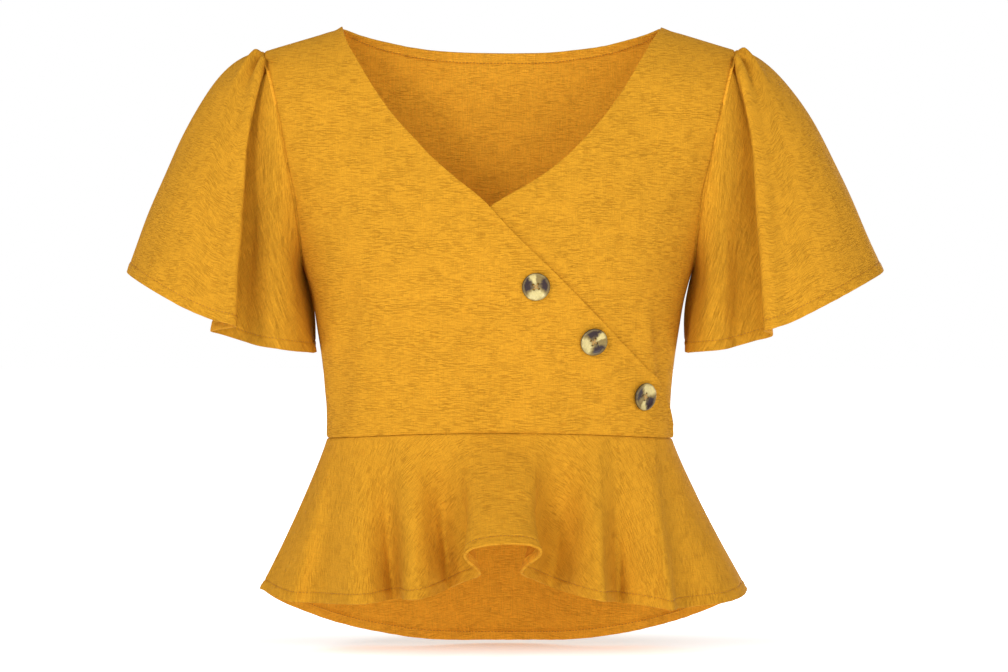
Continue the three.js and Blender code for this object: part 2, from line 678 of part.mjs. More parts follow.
// Closed meshes go to solids and back, to cut one by another
function toSolid(geometry) {
  const bare = geometry.clone();
  bare.deleteAttribute('normal');
  bare.deleteAttribute('uv');
  const merged = mergeVertices(bare, 1e-4);
  return new wasm.Manifold(new wasm.Mesh({
    numProp: 3,
    vertProperties: new Float32Array(merged.attributes.position.array),
    triVerts: new Uint32Array(merged.index.array),
  }));
}

function fromSolid(solid) {
  const { vertProperties, triVerts } = solid.getMesh();
  const geometry = new THREE.BufferGeometry();
  geometry.setAttribute('position', new THREE.BufferAttribute(vertProperties, 3));
  geometry.setIndex(new THREE.BufferAttribute(triVerts, 1));
  geometry.computeVertexNormals();
  return geometry;
}

// A dished button with a raised rim, turned about Z, with four holes cut through it
function buttonGeometry() {
  const { radius, rim, dish, thickness, floor, holes, holeRadius, holeRing } = BUTTON;
  const profile = [
    [0, 0], [radius * 0.72, 0], [radius * 0.94, thickness * 0.28], [radius, thickness * 0.6],
    [(radius + rim) / 2, thickness], [rim, thickness * 0.97], [dish, floor], [0, floor * 0.93],
  ].map(([across, up]) => new THREE.Vector2(across, up));
  const disc = new THREE.LatheGeometry(profile, BUTTON_SEGMENTS).rotateX(Math.PI / 2);
  let solid = toSolid(disc);
  for (let hole = 0; hole < holes; hole += 1) {
    const angle = (2 * Math.PI * (hole + 0.5)) / holes;
    const bore = new THREE.CylinderGeometry(holeRadius, holeRadius, thickness * 3, HOLE_SEGMENTS);
    bore.rotateX(Math.PI / 2).translate(holeRing * Math.cos(angle), holeRing * Math.sin(angle), 0);
    solid = solid.subtract(toSolid(bore));
  }
  return fromSolid(solid);
}

// Where a button sits: flat on the highest cloth beneath it
function buttonSeat({ across, height }) {
  const onCloth = (x, z) => bodyPoint(angleAt(x, z), z);
  const reach = BUTTON.radius * SEAT_RINGS[1];
  const rightwards = onCloth(across + reach, height).sub(onCloth(across - reach, height));
  const upwards = onCloth(across, height + reach).sub(onCloth(across, height - reach));
  const normal = rightwards.cross(upwards).normalize();
  const seat = onCloth(across, height);
  let highest = 0;
  for (let step = 0; step < SEAT_STEPS; step += 1) {
    const turn = (2 * Math.PI * step) / SEAT_STEPS;
    for (const share of SEAT_RINGS) {
      const ring = share * BUTTON.radius;
      const beneath = onCloth(across + ring * Math.cos(turn), height + ring * Math.sin(turn));
      highest = Math.max(highest, beneath.sub(seat).dot(normal));
    }
  }
  return { normal, seat: seat.addScaledVector(normal, highest + LAP_LIFT + SEAM_GAP) };
}

function buttons() {
  return BUTTON_PLACES.map((place, index) => {
    const { normal, seat } = buttonSeat(place);
    const material = new THREE.MeshStandardMaterial({ color: HORN, roughness: 0.25, metalness: 0 });
    const button = new THREE.Mesh(buttonGeometry(), material);
    button.name = `button_${index + 1}`;
    button.position.copy(seat);
    button.quaternion.setFromUnitVectors(new THREE.Vector3(0, 0, 1), normal);
    button.rotateZ(radians(place.turn));
    return button;
  });
}

const blouse = new THREE.Group();
blouse.add(frontPanel('front_over', OVER_EDGE, 1, overLift));
blouse.add(frontPanel('front_under', UNDER_EDGE, -1, noLift));
blouse.add(clothMesh('back', bodyPanel({ grid: GRID.back, lift: noLift, isBack: true })));
blouse.add(sleeve('sleeve_right', RIGHT_SLEEVE_HEM, -1, overLift));
blouse.add(sleeve('sleeve_left', LEFT_SLEEVE_HEM, 1, noLift));
blouse.add(frontPeplum());
blouse.add(backPeplum());
blouse.add(...buttons());

export default blouse;
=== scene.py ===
"""A mustard wrap blouse with flutter sleeves, a fluted peplum and horn buttons.

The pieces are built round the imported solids. Sizes are in millimetres, and become metres where a
mesh is made. The front faces -Y, +Z is up and +X is the wearer's left.
"""

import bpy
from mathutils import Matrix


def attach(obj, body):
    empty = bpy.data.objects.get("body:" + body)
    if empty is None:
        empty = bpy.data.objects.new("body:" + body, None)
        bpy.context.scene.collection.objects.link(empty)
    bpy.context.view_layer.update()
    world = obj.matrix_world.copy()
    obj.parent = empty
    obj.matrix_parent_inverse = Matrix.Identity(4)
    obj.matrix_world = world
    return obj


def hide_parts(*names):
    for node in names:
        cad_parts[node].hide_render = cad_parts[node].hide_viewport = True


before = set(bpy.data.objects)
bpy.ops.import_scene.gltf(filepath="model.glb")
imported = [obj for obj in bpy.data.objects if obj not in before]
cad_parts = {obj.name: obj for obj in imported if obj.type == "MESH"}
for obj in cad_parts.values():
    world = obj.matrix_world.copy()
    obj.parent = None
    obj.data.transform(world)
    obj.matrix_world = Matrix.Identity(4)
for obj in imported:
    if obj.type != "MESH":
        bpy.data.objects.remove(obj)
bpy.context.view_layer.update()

import logging
import math
from collections.abc import Callable, Sequence
from dataclasses import dataclass, field
from enum import Enum
from typing import NamedTuple

import bmesh
import bpy
import numpy as np
from mathutils import Matrix, Vector

# One millimetre in metres, and a distance in millimetres past the reach of any hem.
MM = 0.001
FAR = 99.0
Array = np.ndarray
Tree = bpy.types.NodeTree
Socket = bpy.types.NodeSocket
log = logging.getLogger("blouse")


class Face(Enum):
    """The front or the back of the body."""

    FRONT = "front_depth"
    BACK = "back_depth"


class Side(Enum):
    """A side of the wearer, as the sign of X."""

    RIGHT = -1
    LEFT = 1


class EdgeKind(Enum):
    """How finely cloth is divided near an edge: how far in, and the pitch there."""

    HEM = (15.0, 0.8)
    SEAM = (4.0, 0.8)


class Section(NamedTuple):
    """Half width and depths of the body at a height."""

    height: float
    half_width: float
    front_depth: float
    back_depth: float


class Across(NamedTuple):
    """How far across an edge runs at a height."""

    height: float
    across: float


class Crease(NamedTuple):
    """A soft ridge, or a trough where its height is below 0, along a line seen from its side."""

    from_x: float
    from_z: float
    to_x: float
    to_z: float
    width: float
    height: float


class Spring(NamedTuple):
    """How sleeve cloth leaves the armhole; around is 0 at the underarm and 0.5 at the shoulder."""

    around: float
    out: float
    side: float
    up: float


class SleeveTurn(NamedTuple):
    """A turn of a sleeve's hem."""

    around: float
    out: float
    front: float
    up: float


class Pleat(NamedTuple):
    """A small pleat at the sleeve cap, and how far down the sleeve it fades out."""

    around: float
    width: float
    height: float
    reach: float


class HemTurn(NamedTuple):
    """A crest, trough or turn of the front peplum's hem, at an angle round the waist."""

    angle: float
    across: float
    front: float
    up: float


def mix(low: Array | float, high: Array | float, share: Array | float) -> Array | float:
    """Go from low to high by a share."""
    return low + (high - low) * share


def smooth(share: Array) -> Array:
    """Ease a share, held between 0 and 1, in and out."""
    held = np.clip(share, 0, 1)
    return held * held * (3 - 2 * held)


def hump(away: Array, width: float) -> Array:
    """Give a soft hump: 1 at its middle and almost nothing at twice its width away."""
    return np.exp(-((away / width) ** 2))


def unit(vectors: Array) -> Array:
    """Scale vectors to length 1."""
    return vectors / np.maximum(np.linalg.norm(vectors, axis=-1, keepdims=True), 1e-12)


def read(rows: Sequence[NamedTuple], key: str, column: str, at: Array | float) -> Array:
    """Read a smooth curve through the rows of a table.

    Args:
        rows: the table, in order of its key.
        key: the column that the curve runs along.
        column: the column that is read.
        at: where along the key.

    Returns:
        The column's values there, held at the table's ends.
    """
    keys = np.array([getattr(row, key) for row in rows], float)
    values = np.array([getattr(row, column) for row in rows], float)
    spans = np.diff(keys)
    steps = np.diff(values) / spans
    slopes = np.concatenate([steps[:1], steps[:1], steps[1:]])
    slopes[-1] = steps[-1]
    slopes[1:-1] = (steps[:-1] * spans[1:] + steps[1:] * spans[:-1]) / (spans[:-1] + spans[1:])
    index = np.clip(np.searchsorted(keys, at) - 1, 0, len(spans) - 1)
    part = np.clip((at - keys[index]) / spans[index], 0, 1)
    square, cube = part**2, part**3
    return (
        (2 * cube - 3 * square + 1) * values[index]
        + (cube - 2 * square + part) * spans[index] * slopes[index]
        + (3 * square - 2 * cube) * values[index + 1]
        + (cube - square) * spans[index] * slopes[index + 1]
    )


def stations(length: float, pitch: float, start: EdgeKind, end: EdgeKind) -> Array:
    """Divide a length at a pitch, and more finely near its two ends.

    Args:
        length: the cloth's length in millimetres.
        pitch: the pitch away from the ends.
        start: the kind of edge at 0.
        end: the kind of edge at the far end.

    Returns:
        Shares of the length from 0 to 1.
    """
    near, near_pitch = start.value
    far, far_pitch = end.value
    middle = length - near - far
    parts = [
        np.linspace(0, near, round(near / near_pitch), endpoint=False),
        np.linspace(near, length - far, max(2, round(middle / pitch)), endpoint=False),
        np.linspace(length - far, length, round(far / far_pitch) + 1),
    ]
    return np.concatenate(parts) / length


def normals_of(points: Array, is_tube: bool = False) -> Array:
    """Work out the outward normals of a grid of points."""
    across = np.gradient(points, axis=1)
    up = np.gradient(points, axis=0)
    if is_tube:
        wrapped = points[:, 1] - points[:, -2]
        across[:, 0] = across[:, -1] = wrapped / 2
    return unit(np.cross(across, up))


def run_from(points: Array, axis: int) -> Array:
    """Measure how far each point of a grid lies from the grid's start along an axis."""
    steps = np.linalg.norm(np.diff(points, axis=axis), axis=-1)
    zeros = np.zeros_like(np.take(steps, [0], axis=axis))
    return np.concatenate([zeros, np.cumsum(steps, axis=axis)], axis=axis)


def run_along(line: Array) -> Array:
    """Measure how far each point of a line lies from its start."""
    return np.concatenate([[0], np.cumsum(np.linalg.norm(np.diff(line, axis=0), axis=1))])


def waves(points: Array, length: float, seed: int) -> Array:
    """Give soft uneven waves over points, between about -1 and 1.

    Args:
        points: places in millimetres.
        length: the usual distance from crest to crest.
        seed: what the waves' directions are drawn from.

    Returns:
        The height of the waves at each point.
    """
    chance = np.random.default_rng(seed)
    total = np.zeros(points.shape[:-1])
    count = 7
    for _ in range(count):
        direction = unit(chance.normal(size=3))
        pitch = 2 * np.pi / (length * chance.uniform(0.7, 1.5))
        total += np.sin(points @ direction * pitch + chance.uniform(0, 2 * np.pi))
    return total / math.sqrt(count)


@dataclass(frozen=True)
class BodyForm:
    """The form of the body of the blouse, which every piece on it shares."""

    neck_half: float = 140.0
    shoulder_slope: float = 0.2985
    shoulder_round: float = 70.0
    shoulder_tip: float = 207.0
    middle: float = -2.2
    back_neck_drop: float = 17.5
    waist_height: float = -360.0
    waist_front_rise: float = 6.0
    underarm_height: float = -212.0
    section_power: float = 2.4
    lap_lift: float = 2.0
    lap_from: float = -60.0
    lap_fade: float = 80.0
    neck_power: float = 2.6
    crease_start: float = 0.4
    crease_rise: float = 3.0
    crease_end: float = 0.6
    crease_fall: float = 4.0
    arc_steps: int = 13
    sections: tuple[Section, ...] = (
        Section(height=-360, half_width=150, front_depth=93, back_depth=92),
        Section(height=-330, half_width=150.5, front_depth=95, back_depth=92),
        Section(height=-296, half_width=153.3, front_depth=102, back_depth=95),
        Section(height=-264, half_width=158, front_depth=111, back_depth=99),
        Section(height=-234, half_width=163.3, front_depth=120, back_depth=104),
        Section(height=-212, half_width=170, front_depth=124, back_depth=107),
        Section(height=-160, half_width=190, front_depth=119, back_depth=107),
        Section(height=-113, half_width=212, front_depth=104, back_depth=99),
        Section(height=-63, half_width=236, front_depth=87, back_depth=85),
        Section(height=-20, half_width=250, front_depth=75, back_depth=71),
        Section(height=45, half_width=268, front_depth=68, back_depth=64),
    )
    armhole: tuple[Across, ...] = (
        Across(height=-212, across=170),
        Across(height=-195, across=170.5),
        Across(height=-160, across=174.5),
        Across(height=-113, across=184),
        Across(height=-63, across=195),
        Across(height=-40, across=201),
        Across(height=-20, across=207),
    )
    front_creases: tuple[Crease, ...] = (
        Crease(from_x=-129, from_z=-215, to_x=-145, to_z=-350, width=12, height=-4),
        Crease(from_x=-141, from_z=-245, to_x=-150, to_z=-325, width=8, height=2.5),
        Crease(from_x=28, from_z=-300, to_x=27, to_z=-352, width=12, height=2.4),
        Crease(from_x=124, from_z=-250, to_x=131, to_z=-312, width=7, height=3.2),
        Crease(from_x=134, from_z=-255, to_x=141, to_z=-330, width=7, height=-4),
        Crease(from_x=-172, from_z=-130, to_x=-140, to_z=-185, width=12, height=-2),
        Crease(from_x=172, from_z=-130, to_x=142, to_z=-180, width=12, height=-2),
    )
    back_creases: tuple[Crease, ...] = (
        Crease(from_x=-60, from_z=-250, to_x=-74, to_z=-352, width=13, height=3),
        Crease(from_x=66, from_z=-262, to_x=78, to_z=-352, width=13, height=3),
        Crease(from_x=-104, from_z=-285, to_x=-112, to_z=-352, width=10, height=-2.5),
        Crease(from_x=108, from_z=-275, to_x=116, to_z=-352, width=10, height=-2.5),
        Crease(from_x=-165, from_z=-135, to_x=-130, to_z=-200, width=13, height=-2.5),
        Crease(from_x=165, from_z=-140, to_x=132, to_z=-208, width=13, height=-2.5),
    )

    def half_width(self, height: Array) -> Array:
        """Give half the body's width at a height."""
        return read(self.sections, "height", "half_width", height)

    def shoulder_line(self, x: Array) -> Array:
        """Give the height of the shoulders' top line, carried on over the neck."""
        return (self.neck_half - np.abs(x)) * self.shoulder_slope

    def waist_line(self, face: Face, x: Array) -> Array:
        """Give the height of the waist seam."""
        if face is Face.BACK:
            return np.full_like(x, self.waist_height)
        share = (x - self.middle) / self.sections[0].half_width
        return self.waist_height + self.waist_front_rise * (1 - share**2)

    def top_line(self, face: Face, x: Array) -> Array:
        """Give the height of the shoulder seam, and of the back's neck between the shoulders."""
        line = self.shoulder_line(x)
        if face is Face.FRONT:
            return line
        near = np.clip(np.abs(x) / self.neck_half, 0, 1)
        return np.where(near < 1, -self.back_neck_drop * (1 - near**self.neck_power), line)

    def roll(self, x: Array, height: Array) -> Array:
        """Give the share of the depth that is left where the shoulder rounds over."""
        below = np.clip((self.shoulder_line(x) - height) / self.shoulder_round, 0, 1)
        return np.sqrt(1 - (1 - below) ** 2)

    def crease(self, face: Face, x: Array, z: Array) -> Array:
        """Give how far the creases of a face lift or sink the cloth."""
        total = np.zeros_like(x)
        for row in self.front_creases if face is Face.FRONT else self.back_creases:
            run_x, run_z = row.to_x - row.from_x, row.to_z - row.from_z
            from_x, from_z = x - row.from_x, z - row.from_z
            along = (from_x * run_x + from_z * run_z) / (run_x**2 + run_z**2)
            nearest = np.clip(along, 0, 1)
            away = np.hypot(from_x - nearest * run_x, from_z - nearest * run_z)
            start = along * self.crease_rise + self.crease_start
            end = (1 - along) * self.crease_fall + self.crease_end
            total += row.height * smooth(np.minimum(start, end)) * hump(away, row.width)
        return total

    def point(self, face: Face, angle: Array, height: Array) -> Array:
        """Place points on the body.

        Args:
            face: the front or the back.
            angle: degrees round the body, 0 at the front's middle and 90 at the wearer's left.
            height: the height of each point.

        Returns:
            The points, in millimetres.
        """
        half = self.half_width(height)
        depth = read(self.sections, "height", face.value, height)
        power = 2 / self.section_power
        sine, cosine = np.sin(np.radians(angle)), np.cos(np.radians(angle))
        out = np.sign(sine) * np.abs(sine) ** power
        back = -np.sign(cosine) * np.abs(cosine) ** power
        x = self.middle + half * out
        push = self.crease(face, x, height) * np.sqrt(np.abs(cosine))
        y = depth * back * self.roll(x, height)
        return np.stack([x + push * out, y + push * back, height], axis=-1)

    def normal(self, face: Face, angle: Array, height: Array) -> Array:
        """Give the outward normals of the body; on the side seams they lie across it."""
        step = 0.05
        below = height - step
        around = self.point(face, angle + step, below) - self.point(face, angle - step, below)
        up = self.point(face, angle, height) - self.point(face, angle, height - 2 * step)
        normal = np.cross(around, up)
        is_seam = np.abs(np.abs(np.abs(angle) - 180) - 90) < 0.5
        normal[..., 1] = np.where(is_seam, 0, normal[..., 1])
        return unit(normal)

    def angle_at(self, face: Face, x: Array, height: Array) -> Array:
        """Give the angle round the body at a distance across."""
        part = np.clip(np.abs(x - self.middle) / self.half_width(height), 0, 1)
        angle = np.sign(x - self.middle) * np.degrees(np.arcsin(part ** (self.section_power / 2)))
        return angle if face is Face.FRONT else np.sign(angle) * 180 - angle

    def side_across(self, side: Side, height: Array) -> Array:
        """Give how far across the side seam runs, and the armhole above it."""
        armhole = read(self.armhole, "height", "across", height)
        out = np.where(height < self.underarm_height, self.half_width(height), armhole)
        return self.middle + side.value * out

    def lap(self, height: Array) -> Array:
        """Give how far the front that laps over stands off the one beneath it."""
        return self.lap_lift * smooth((self.lap_from - height) / self.lap_fade)

    def arc(self, face: Face, angle: Array, height: Array) -> Array:
        """Measure round the body from the middle of a face, along a level line."""
        middle = 0 if face is Face.FRONT else 180
        shares = np.linspace(0, 1, self.arc_steps)
        steps = [self.point(face, mix(middle, angle, share), height) for share in shares]
        length = np.linalg.norm(np.diff(np.stack(steps), axis=0), axis=-1).sum(axis=0)
        return length * np.sign(angle - middle) * (1 if face is Face.FRONT else -1)


def linear(hex_colour: str) -> tuple[float, float, float, float]:
    """Turn an sRGB hex colour to linear light."""
    channels = [int(hex_colour[i : i + 2], 16) / 255 for i in (1, 3, 5)]
    bright = [c / 12.92 if c <= 0.04045 else ((c + 0.055) / 1.055) ** 2.4 for c in channels]
    return (*bright, 1.0)


def add(tree: Tree, kind: str, inputs: dict | None = None, **settings) -> bpy.types.Node:
    """Add a shader node.

    Args:
        tree: the material's node tree.
        kind: the node's type without its ShaderNode prefix.
        inputs: a value or an output socket for each input, by name or number.
        settings: the node's own properties.

    Returns:
        The new node.
    """
    node = tree.nodes.new("ShaderNode" + kind)
    for name, value in settings.items():
        setattr(node, name, value)
    for name, value in (inputs or {}).items():
        if isinstance(value, bpy.types.NodeSocket):
            tree.links.new(value, node.inputs[name])
        else:
            node.inputs[name].default_value = value
    return node


def vary(tree: Tree, tint: Socket, by: Socket, share: float) -> Socket:
    """Make a colour lighter and darker by a share, as noise round one half says."""
    limits = {"Value": by, "To Min": 1 - share, "To Max": 1 + share}
    scale = add(tree, "MapRange", limits, clamp=False).outputs[0]
    return add(tree, "VectorMath", {0: tint, 3: scale}, operation="SCALE").outputs[0]


def new_material(name: str) -> tuple[bpy.types.Material, Tree, bpy.types.Node]:
    """Make an empty material, and give it with its tree and its shader."""
    material = bpy.data.materials.new(name)
    material.use_nodes = True
    tree = material.node_tree
    return material, tree, tree.nodes["Principled BSDF"]


def new_piece(name: str, made: bmesh.types.BMesh, is_smooth: bool = True) -> bpy.types.Object:
    """Make a finished bmesh a piece of the scene.

    Args:
        name: the piece's name.
        made: what its mesh is made from, freed at the end.
        is_smooth: whether its faces are shaded as round.

    Returns:
        The new piece, at the origin.
    """
    for made_face in made.faces:
        made_face.smooth = is_smooth
    mesh = bpy.data.meshes.new(name)
    made.to_mesh(mesh)
    made.free()
    piece = bpy.data.objects.new(name, mesh)
    bpy.context.scene.collection.objects.link(piece)
    return piece


@dataclass(frozen=True)
class CrepeFinish:
    """Slub crepe jersey: short thick threads show as darker dashes across a matt, dry face."""

    name: str = "slub_crepe_jersey"
    base: str = "#D09325"
    streak: str = "#AA6A12"
    streak_share: float = 0.46
    streak_length: float = 10.0
    streak_width: float = 0.72
    rib_length: float = 12.0
    rib_width: float = 1.1
    rib_share: float = 0.10
    rib_height: float = 0.7
    grain: float = 0.95
    grain_share: float = 0.16
    grain_height: float = 0.8
    cloud_width: float = 70.0
    cloud_length: float = 55.0
    cloud_share: float = 0.06
    dash_from: float = 0.56
    dash_to: float = 0.72
    patch: float = 24.0
    patch_shape: float = 0.7
    patch_from: float = 0.35
    patch_to: float = 0.6
    patch_least: float = 0.45
    short_patch: float = 15.0
    short_length: float = 0.55
    short_width: float = 0.7
    short_strength: float = 0.6
    slub_sink: float = -1.5
    bend: float = 0.8
    bends_per_metre: float = 60.0
    relief: float = 0.26

    def texture(self, tree: Tree, place: Socket, across: float, along: float,
                detail: float = 1.5) -> Socket:
        """Add noise stretched to a size across and along the cloth, in millimetres."""
        scale = (1 / (across * MM), 1 / (along * MM), 1.0)
        stretched = add(tree, "Mapping", {"Vector": place, "Scale": scale})
        inputs = {"Vector": stretched.outputs[0], "Scale": 1.0, "Detail": detail, "Roughness": 0.55}
        return add(tree, "TexNoise", inputs, noise_dimensions="2D").outputs["Fac"]

    def dashes(self, tree: Tree, place: Socket, length: float, width: float, patch: float) -> Socket:
        """Add thin dashes that gather in patches, all in millimetres."""
        dash = self.texture(tree, place, length, width, detail=0.4)
        limits = {"Value": dash, "From Min": self.dash_from, "From Max": self.dash_to}
        drawn = add(tree, "MapRange", limits, interpolation_type="SMOOTHSTEP").outputs[0]
        cluster = self.texture(tree, place, patch, patch * self.patch_shape)
        limits = {"Value": cluster, "From Min": self.patch_from, "From Max": self.patch_to}
        share = add(tree, "MapRange", {**limits, "To Min": self.patch_least}).outputs[0]
        return add(tree, "Math", {0: drawn, 1: share}, operation="MULTIPLY").outputs[0]

    def bent(self, tree: Tree, flat: Socket) -> Socket:
        """Bend the pattern a little, because no thread in crepe lies quite straight."""
        spread = add(tree, "Mapping", {"Vector": flat, "Scale": (self.bends_per_metre,) * 3})
        noise = {"Vector": spread.outputs[0], "Scale": 1.0, "Detail": 1.0}
        drift = add(tree, "TexNoise", noise, noise_dimensions="2D").outputs["Color"]
        small = add(tree, "VectorMath", {0: drift, 3: self.bend * MM}, operation="SCALE").outputs[0]
        return add(tree, "VectorMath", {0: flat, 1: small}, operation="ADD").outputs[0]

    def slub(self, tree: Tree, place: Socket) -> Socket:
        """Add the slub: long dashes, with shorter and fainter ones among them."""
        long = self.dashes(tree, place, self.streak_length, self.streak_width, self.patch)
        short = self.dashes(tree, place, self.streak_length * self.short_length,
                            self.streak_width * self.short_width, self.short_patch)
        faint = add(tree, "Math", {0: short, 1: self.short_strength}, operation="MULTIPLY").outputs[0]
        return add(tree, "Math", {0: long, 1: faint}, operation="MAXIMUM").outputs[0]

    def material(self) -> bpy.types.Material:
        """Make the material, on the cloth's own flat pattern."""
        material, tree, shader = new_material(self.name)
        flat = add(tree, "UVMap", uv_map="flat").outputs[0]
        place = self.bent(tree, flat)
        slub = self.slub(tree, place)
        rib = self.texture(tree, place, self.rib_width, self.rib_length)
        grain = self.texture(tree, flat, self.grain, self.grain, detail=2.5)
        tree.links.new(self.tint(tree, flat, slub, rib, grain), shader.inputs["Base Color"])
        tree.links.new(self.bump(tree, slub, rib, grain), shader.inputs["Normal"])
        shader.inputs["Roughness"].default_value = 0.92
        shader.inputs["Specular IOR Level"].default_value = 0.08
        shader.inputs["Sheen Weight"].default_value = 0.05
        shader.inputs["Sheen Roughness"].default_value = 0.45
        shader.inputs["Sheen Tint"].default_value = linear("#FFC860")
        return material

    def tint(self, tree: Tree, flat: Socket, slub: Socket, rib: Socket, grain: Socket) -> Socket:
        """Colour the cloth, darker along the slub and uneven in its ribs and grain."""
        share = add(tree, "Math", {0: slub, 1: self.streak_share}, operation="MULTIPLY").outputs[0]
        colours = {"Factor": share, "A": linear(self.base), "B": linear(self.streak)}
        tint = add(tree, "Mix", colours, data_type="RGBA").outputs["Result"]
        cloud = self.texture(tree, flat, self.cloud_width, self.cloud_length)
        for by, amount in ((rib, self.rib_share), (grain, self.grain_share), (cloud, self.cloud_share)):
            tint = vary(tree, tint, by, amount)
        return tint

    def bump(self, tree: Tree, slub: Socket, rib: Socket, grain: Socket) -> Socket:
        """Sink the slub and raise the ribs and grain."""
        sunk = add(tree, "Math", {0: slub, 1: self.slub_sink}, operation="MULTIPLY").outputs[0]
        ribbed = {0: rib, 1: self.rib_height, 2: sunk}
        raised = add(tree, "Math", ribbed, operation="MULTIPLY_ADD").outputs[0]
        grained = {0: grain, 1: self.grain_height, 2: raised}
        height = add(tree, "Math", grained, operation="MULTIPLY_ADD").outputs[0]
        inputs = {"Height": height, "Strength": 1.0, "Distance": self.relief * MM}
        return add(tree, "Bump", inputs).outputs[0]


@dataclass(frozen=True)
class ThreadFinish:
    """Polyester sewing thread: a little smoother and darker than the cloth it lies in; on the hems that
    darkness is partly painted shade of the stitched groove.
    """

    name: str
    colour: str
    roughness: float = 0.6

    def material(self) -> bpy.types.Material:
        """Make the material, with a fine twist along the thread."""
        material, tree, shader = new_material(self.name)
        place = add(tree, "TexCoord").outputs["Object"]
        twist = add(tree, "TexNoise", {"Vector": place, "Scale": 1800.0, "Detail": 1.0}).outputs["Fac"]
        tint = add(tree, "MapRange", {"Value": twist, "To Min": 0.8, "To Max": 1.15}).outputs[0]
        colour = add(tree, "VectorMath", {0: linear(self.colour)[:3], 3: tint}, operation="SCALE")
        tree.links.new(colour.outputs[0], shader.inputs["Base Color"])
        shader.inputs["Roughness"].default_value = self.roughness
        return material


@dataclass(frozen=True)
class HornFinish:
    """Polished horn: cream, olive and near black in wedges, under a soft clear shine, with painted shade
    darkening its outer side.
    """

    name: str = "polished_horn"
    cream: str = "#CDBC7E"
    olive: str = "#85713F"
    dark: str = "#2C1B1D"
    bend: float = 0.35
    fibre_share: float = 0.28
    middle: tuple[float, float] = (0.08, 0.24)
    middle_least: float = 0.25
    rim: tuple[float, float] = (0.40, 0.46)
    rim_least: float = 0.45
    # The outer side is painted darker towards the edge: painted shade for the side and its contact shadow.
    side: tuple[float, float] = (0.47, 0.495)
    side_shade_least: float = 0.3

    def material(self, turn: float) -> bpy.types.Material:
        """Make the material of one button.

        Args:
            turn: how far its streaks are turned, in degrees.

        Returns:
            The material, on the button's own plan.
        """
        material, tree, shader = new_material(self.name)
        plan = add(tree, "UVMap", uv_map="plan").outputs[0]
        turned = {"Vector": plan, "Rotation": (0, 0, math.radians(turn))}
        place = add(tree, "Mapping", turned).outputs[0]
        fibre = add(tree, "TexNoise", {"Vector": place, "Scale": 14.0, "Detail": 4.0}).outputs["Fac"]
        streaked = vary(tree, self.wedges(tree, place), fibre, self.fibre_share)
        reach = add(tree, "VectorMath", {0: place}, operation="LENGTH").outputs["Value"]
        # Painted shade: the colour darkens over the button's outer side.
        side = self.step(tree, reach, self.side, 1.0, self.side_shade_least)
        shaded = add(tree, "VectorMath", {0: streaked, 3: side}, operation="SCALE").outputs[0]
        tree.links.new(shaded, shader.inputs["Base Color"])
        shader.inputs["Roughness"].default_value = 0.32
        shader.inputs["IOR"].default_value = 1.54
        shader.inputs["Specular IOR Level"].default_value = 0.28
        shader.inputs["Coat Weight"].default_value = 0.08
        shader.inputs["Coat Roughness"].default_value = 0.1
        return material

    def wedges(self, tree: Tree, place: Socket) -> Socket:
        """Colour the horn in bent wedges that fade to olive at the middle and the rim."""
        cloud = add(tree, "TexNoise", {"Vector": place, "Scale": 3.2, "Detail": 3.0}).outputs["Color"]
        shift = add(tree, "VectorMath", {0: cloud, 1: (0.5, 0.5, 0.5)}, operation="SUBTRACT").outputs[0]
        soft = add(tree, "VectorMath", {0: shift, 3: self.bend}, operation="SCALE").outputs[0]
        bent = add(tree, "VectorMath", {0: place, 1: soft}, operation="ADD").outputs[0]
        wedge = add(tree, "TexGradient", {"Vector": bent}, gradient_type="RADIAL").outputs["Fac"]
        ramp = add(tree, "ValToRGB", {"Fac": wedge})
        self.colour_stops(ramp.color_ramp)
        reach = add(tree, "VectorMath", {0: bent}, operation="LENGTH").outputs["Value"]
        middle = self.step(tree, reach, self.middle, self.middle_least, 1.0)
        rim = self.step(tree, reach, self.rim, 1.0, self.rim_least)
        share = add(tree, "Math", {0: middle, 1: rim}, operation="MULTIPLY").outputs[0]
        colours = {"Factor": share, "A": linear(self.olive), "B": ramp.outputs[0]}
        return add(tree, "Mix", colours, data_type="RGBA").outputs["Result"]

    def step(self, tree: Tree, reach: Socket, span: tuple[float, float], first: float,
             last: float) -> Socket:
        """Go from a first value to a last between two distances from the button's middle."""
        limits = {"Value": reach, "From Min": span[0], "From Max": span[1]}
        return add(tree, "MapRange", {**limits, "To Min": first, "To Max": last}).outputs[0]

    def colour_stops(self, ramp: bpy.types.ColorRamp) -> None:
        """Lay the horn's colours round the button."""
        stops = [
            (0.0, self.dark), (0.055, self.dark), (0.106, self.olive), (0.167, self.cream),
            (0.389, self.cream), (0.433, self.olive), (0.472, self.dark), (0.625, self.dark),
            (0.667, self.olive), (0.755, self.olive), (0.783, self.cream), (0.856, self.cream),
            (0.889, self.dark), (1.0, self.dark),
        ]
        while len(ramp.elements) < len(stops):
            ramp.elements.new(0.5)
        for element, (position, colour) in zip(ramp.elements, stops, strict=True):
            element.position = position
            element.color = linear(colour)


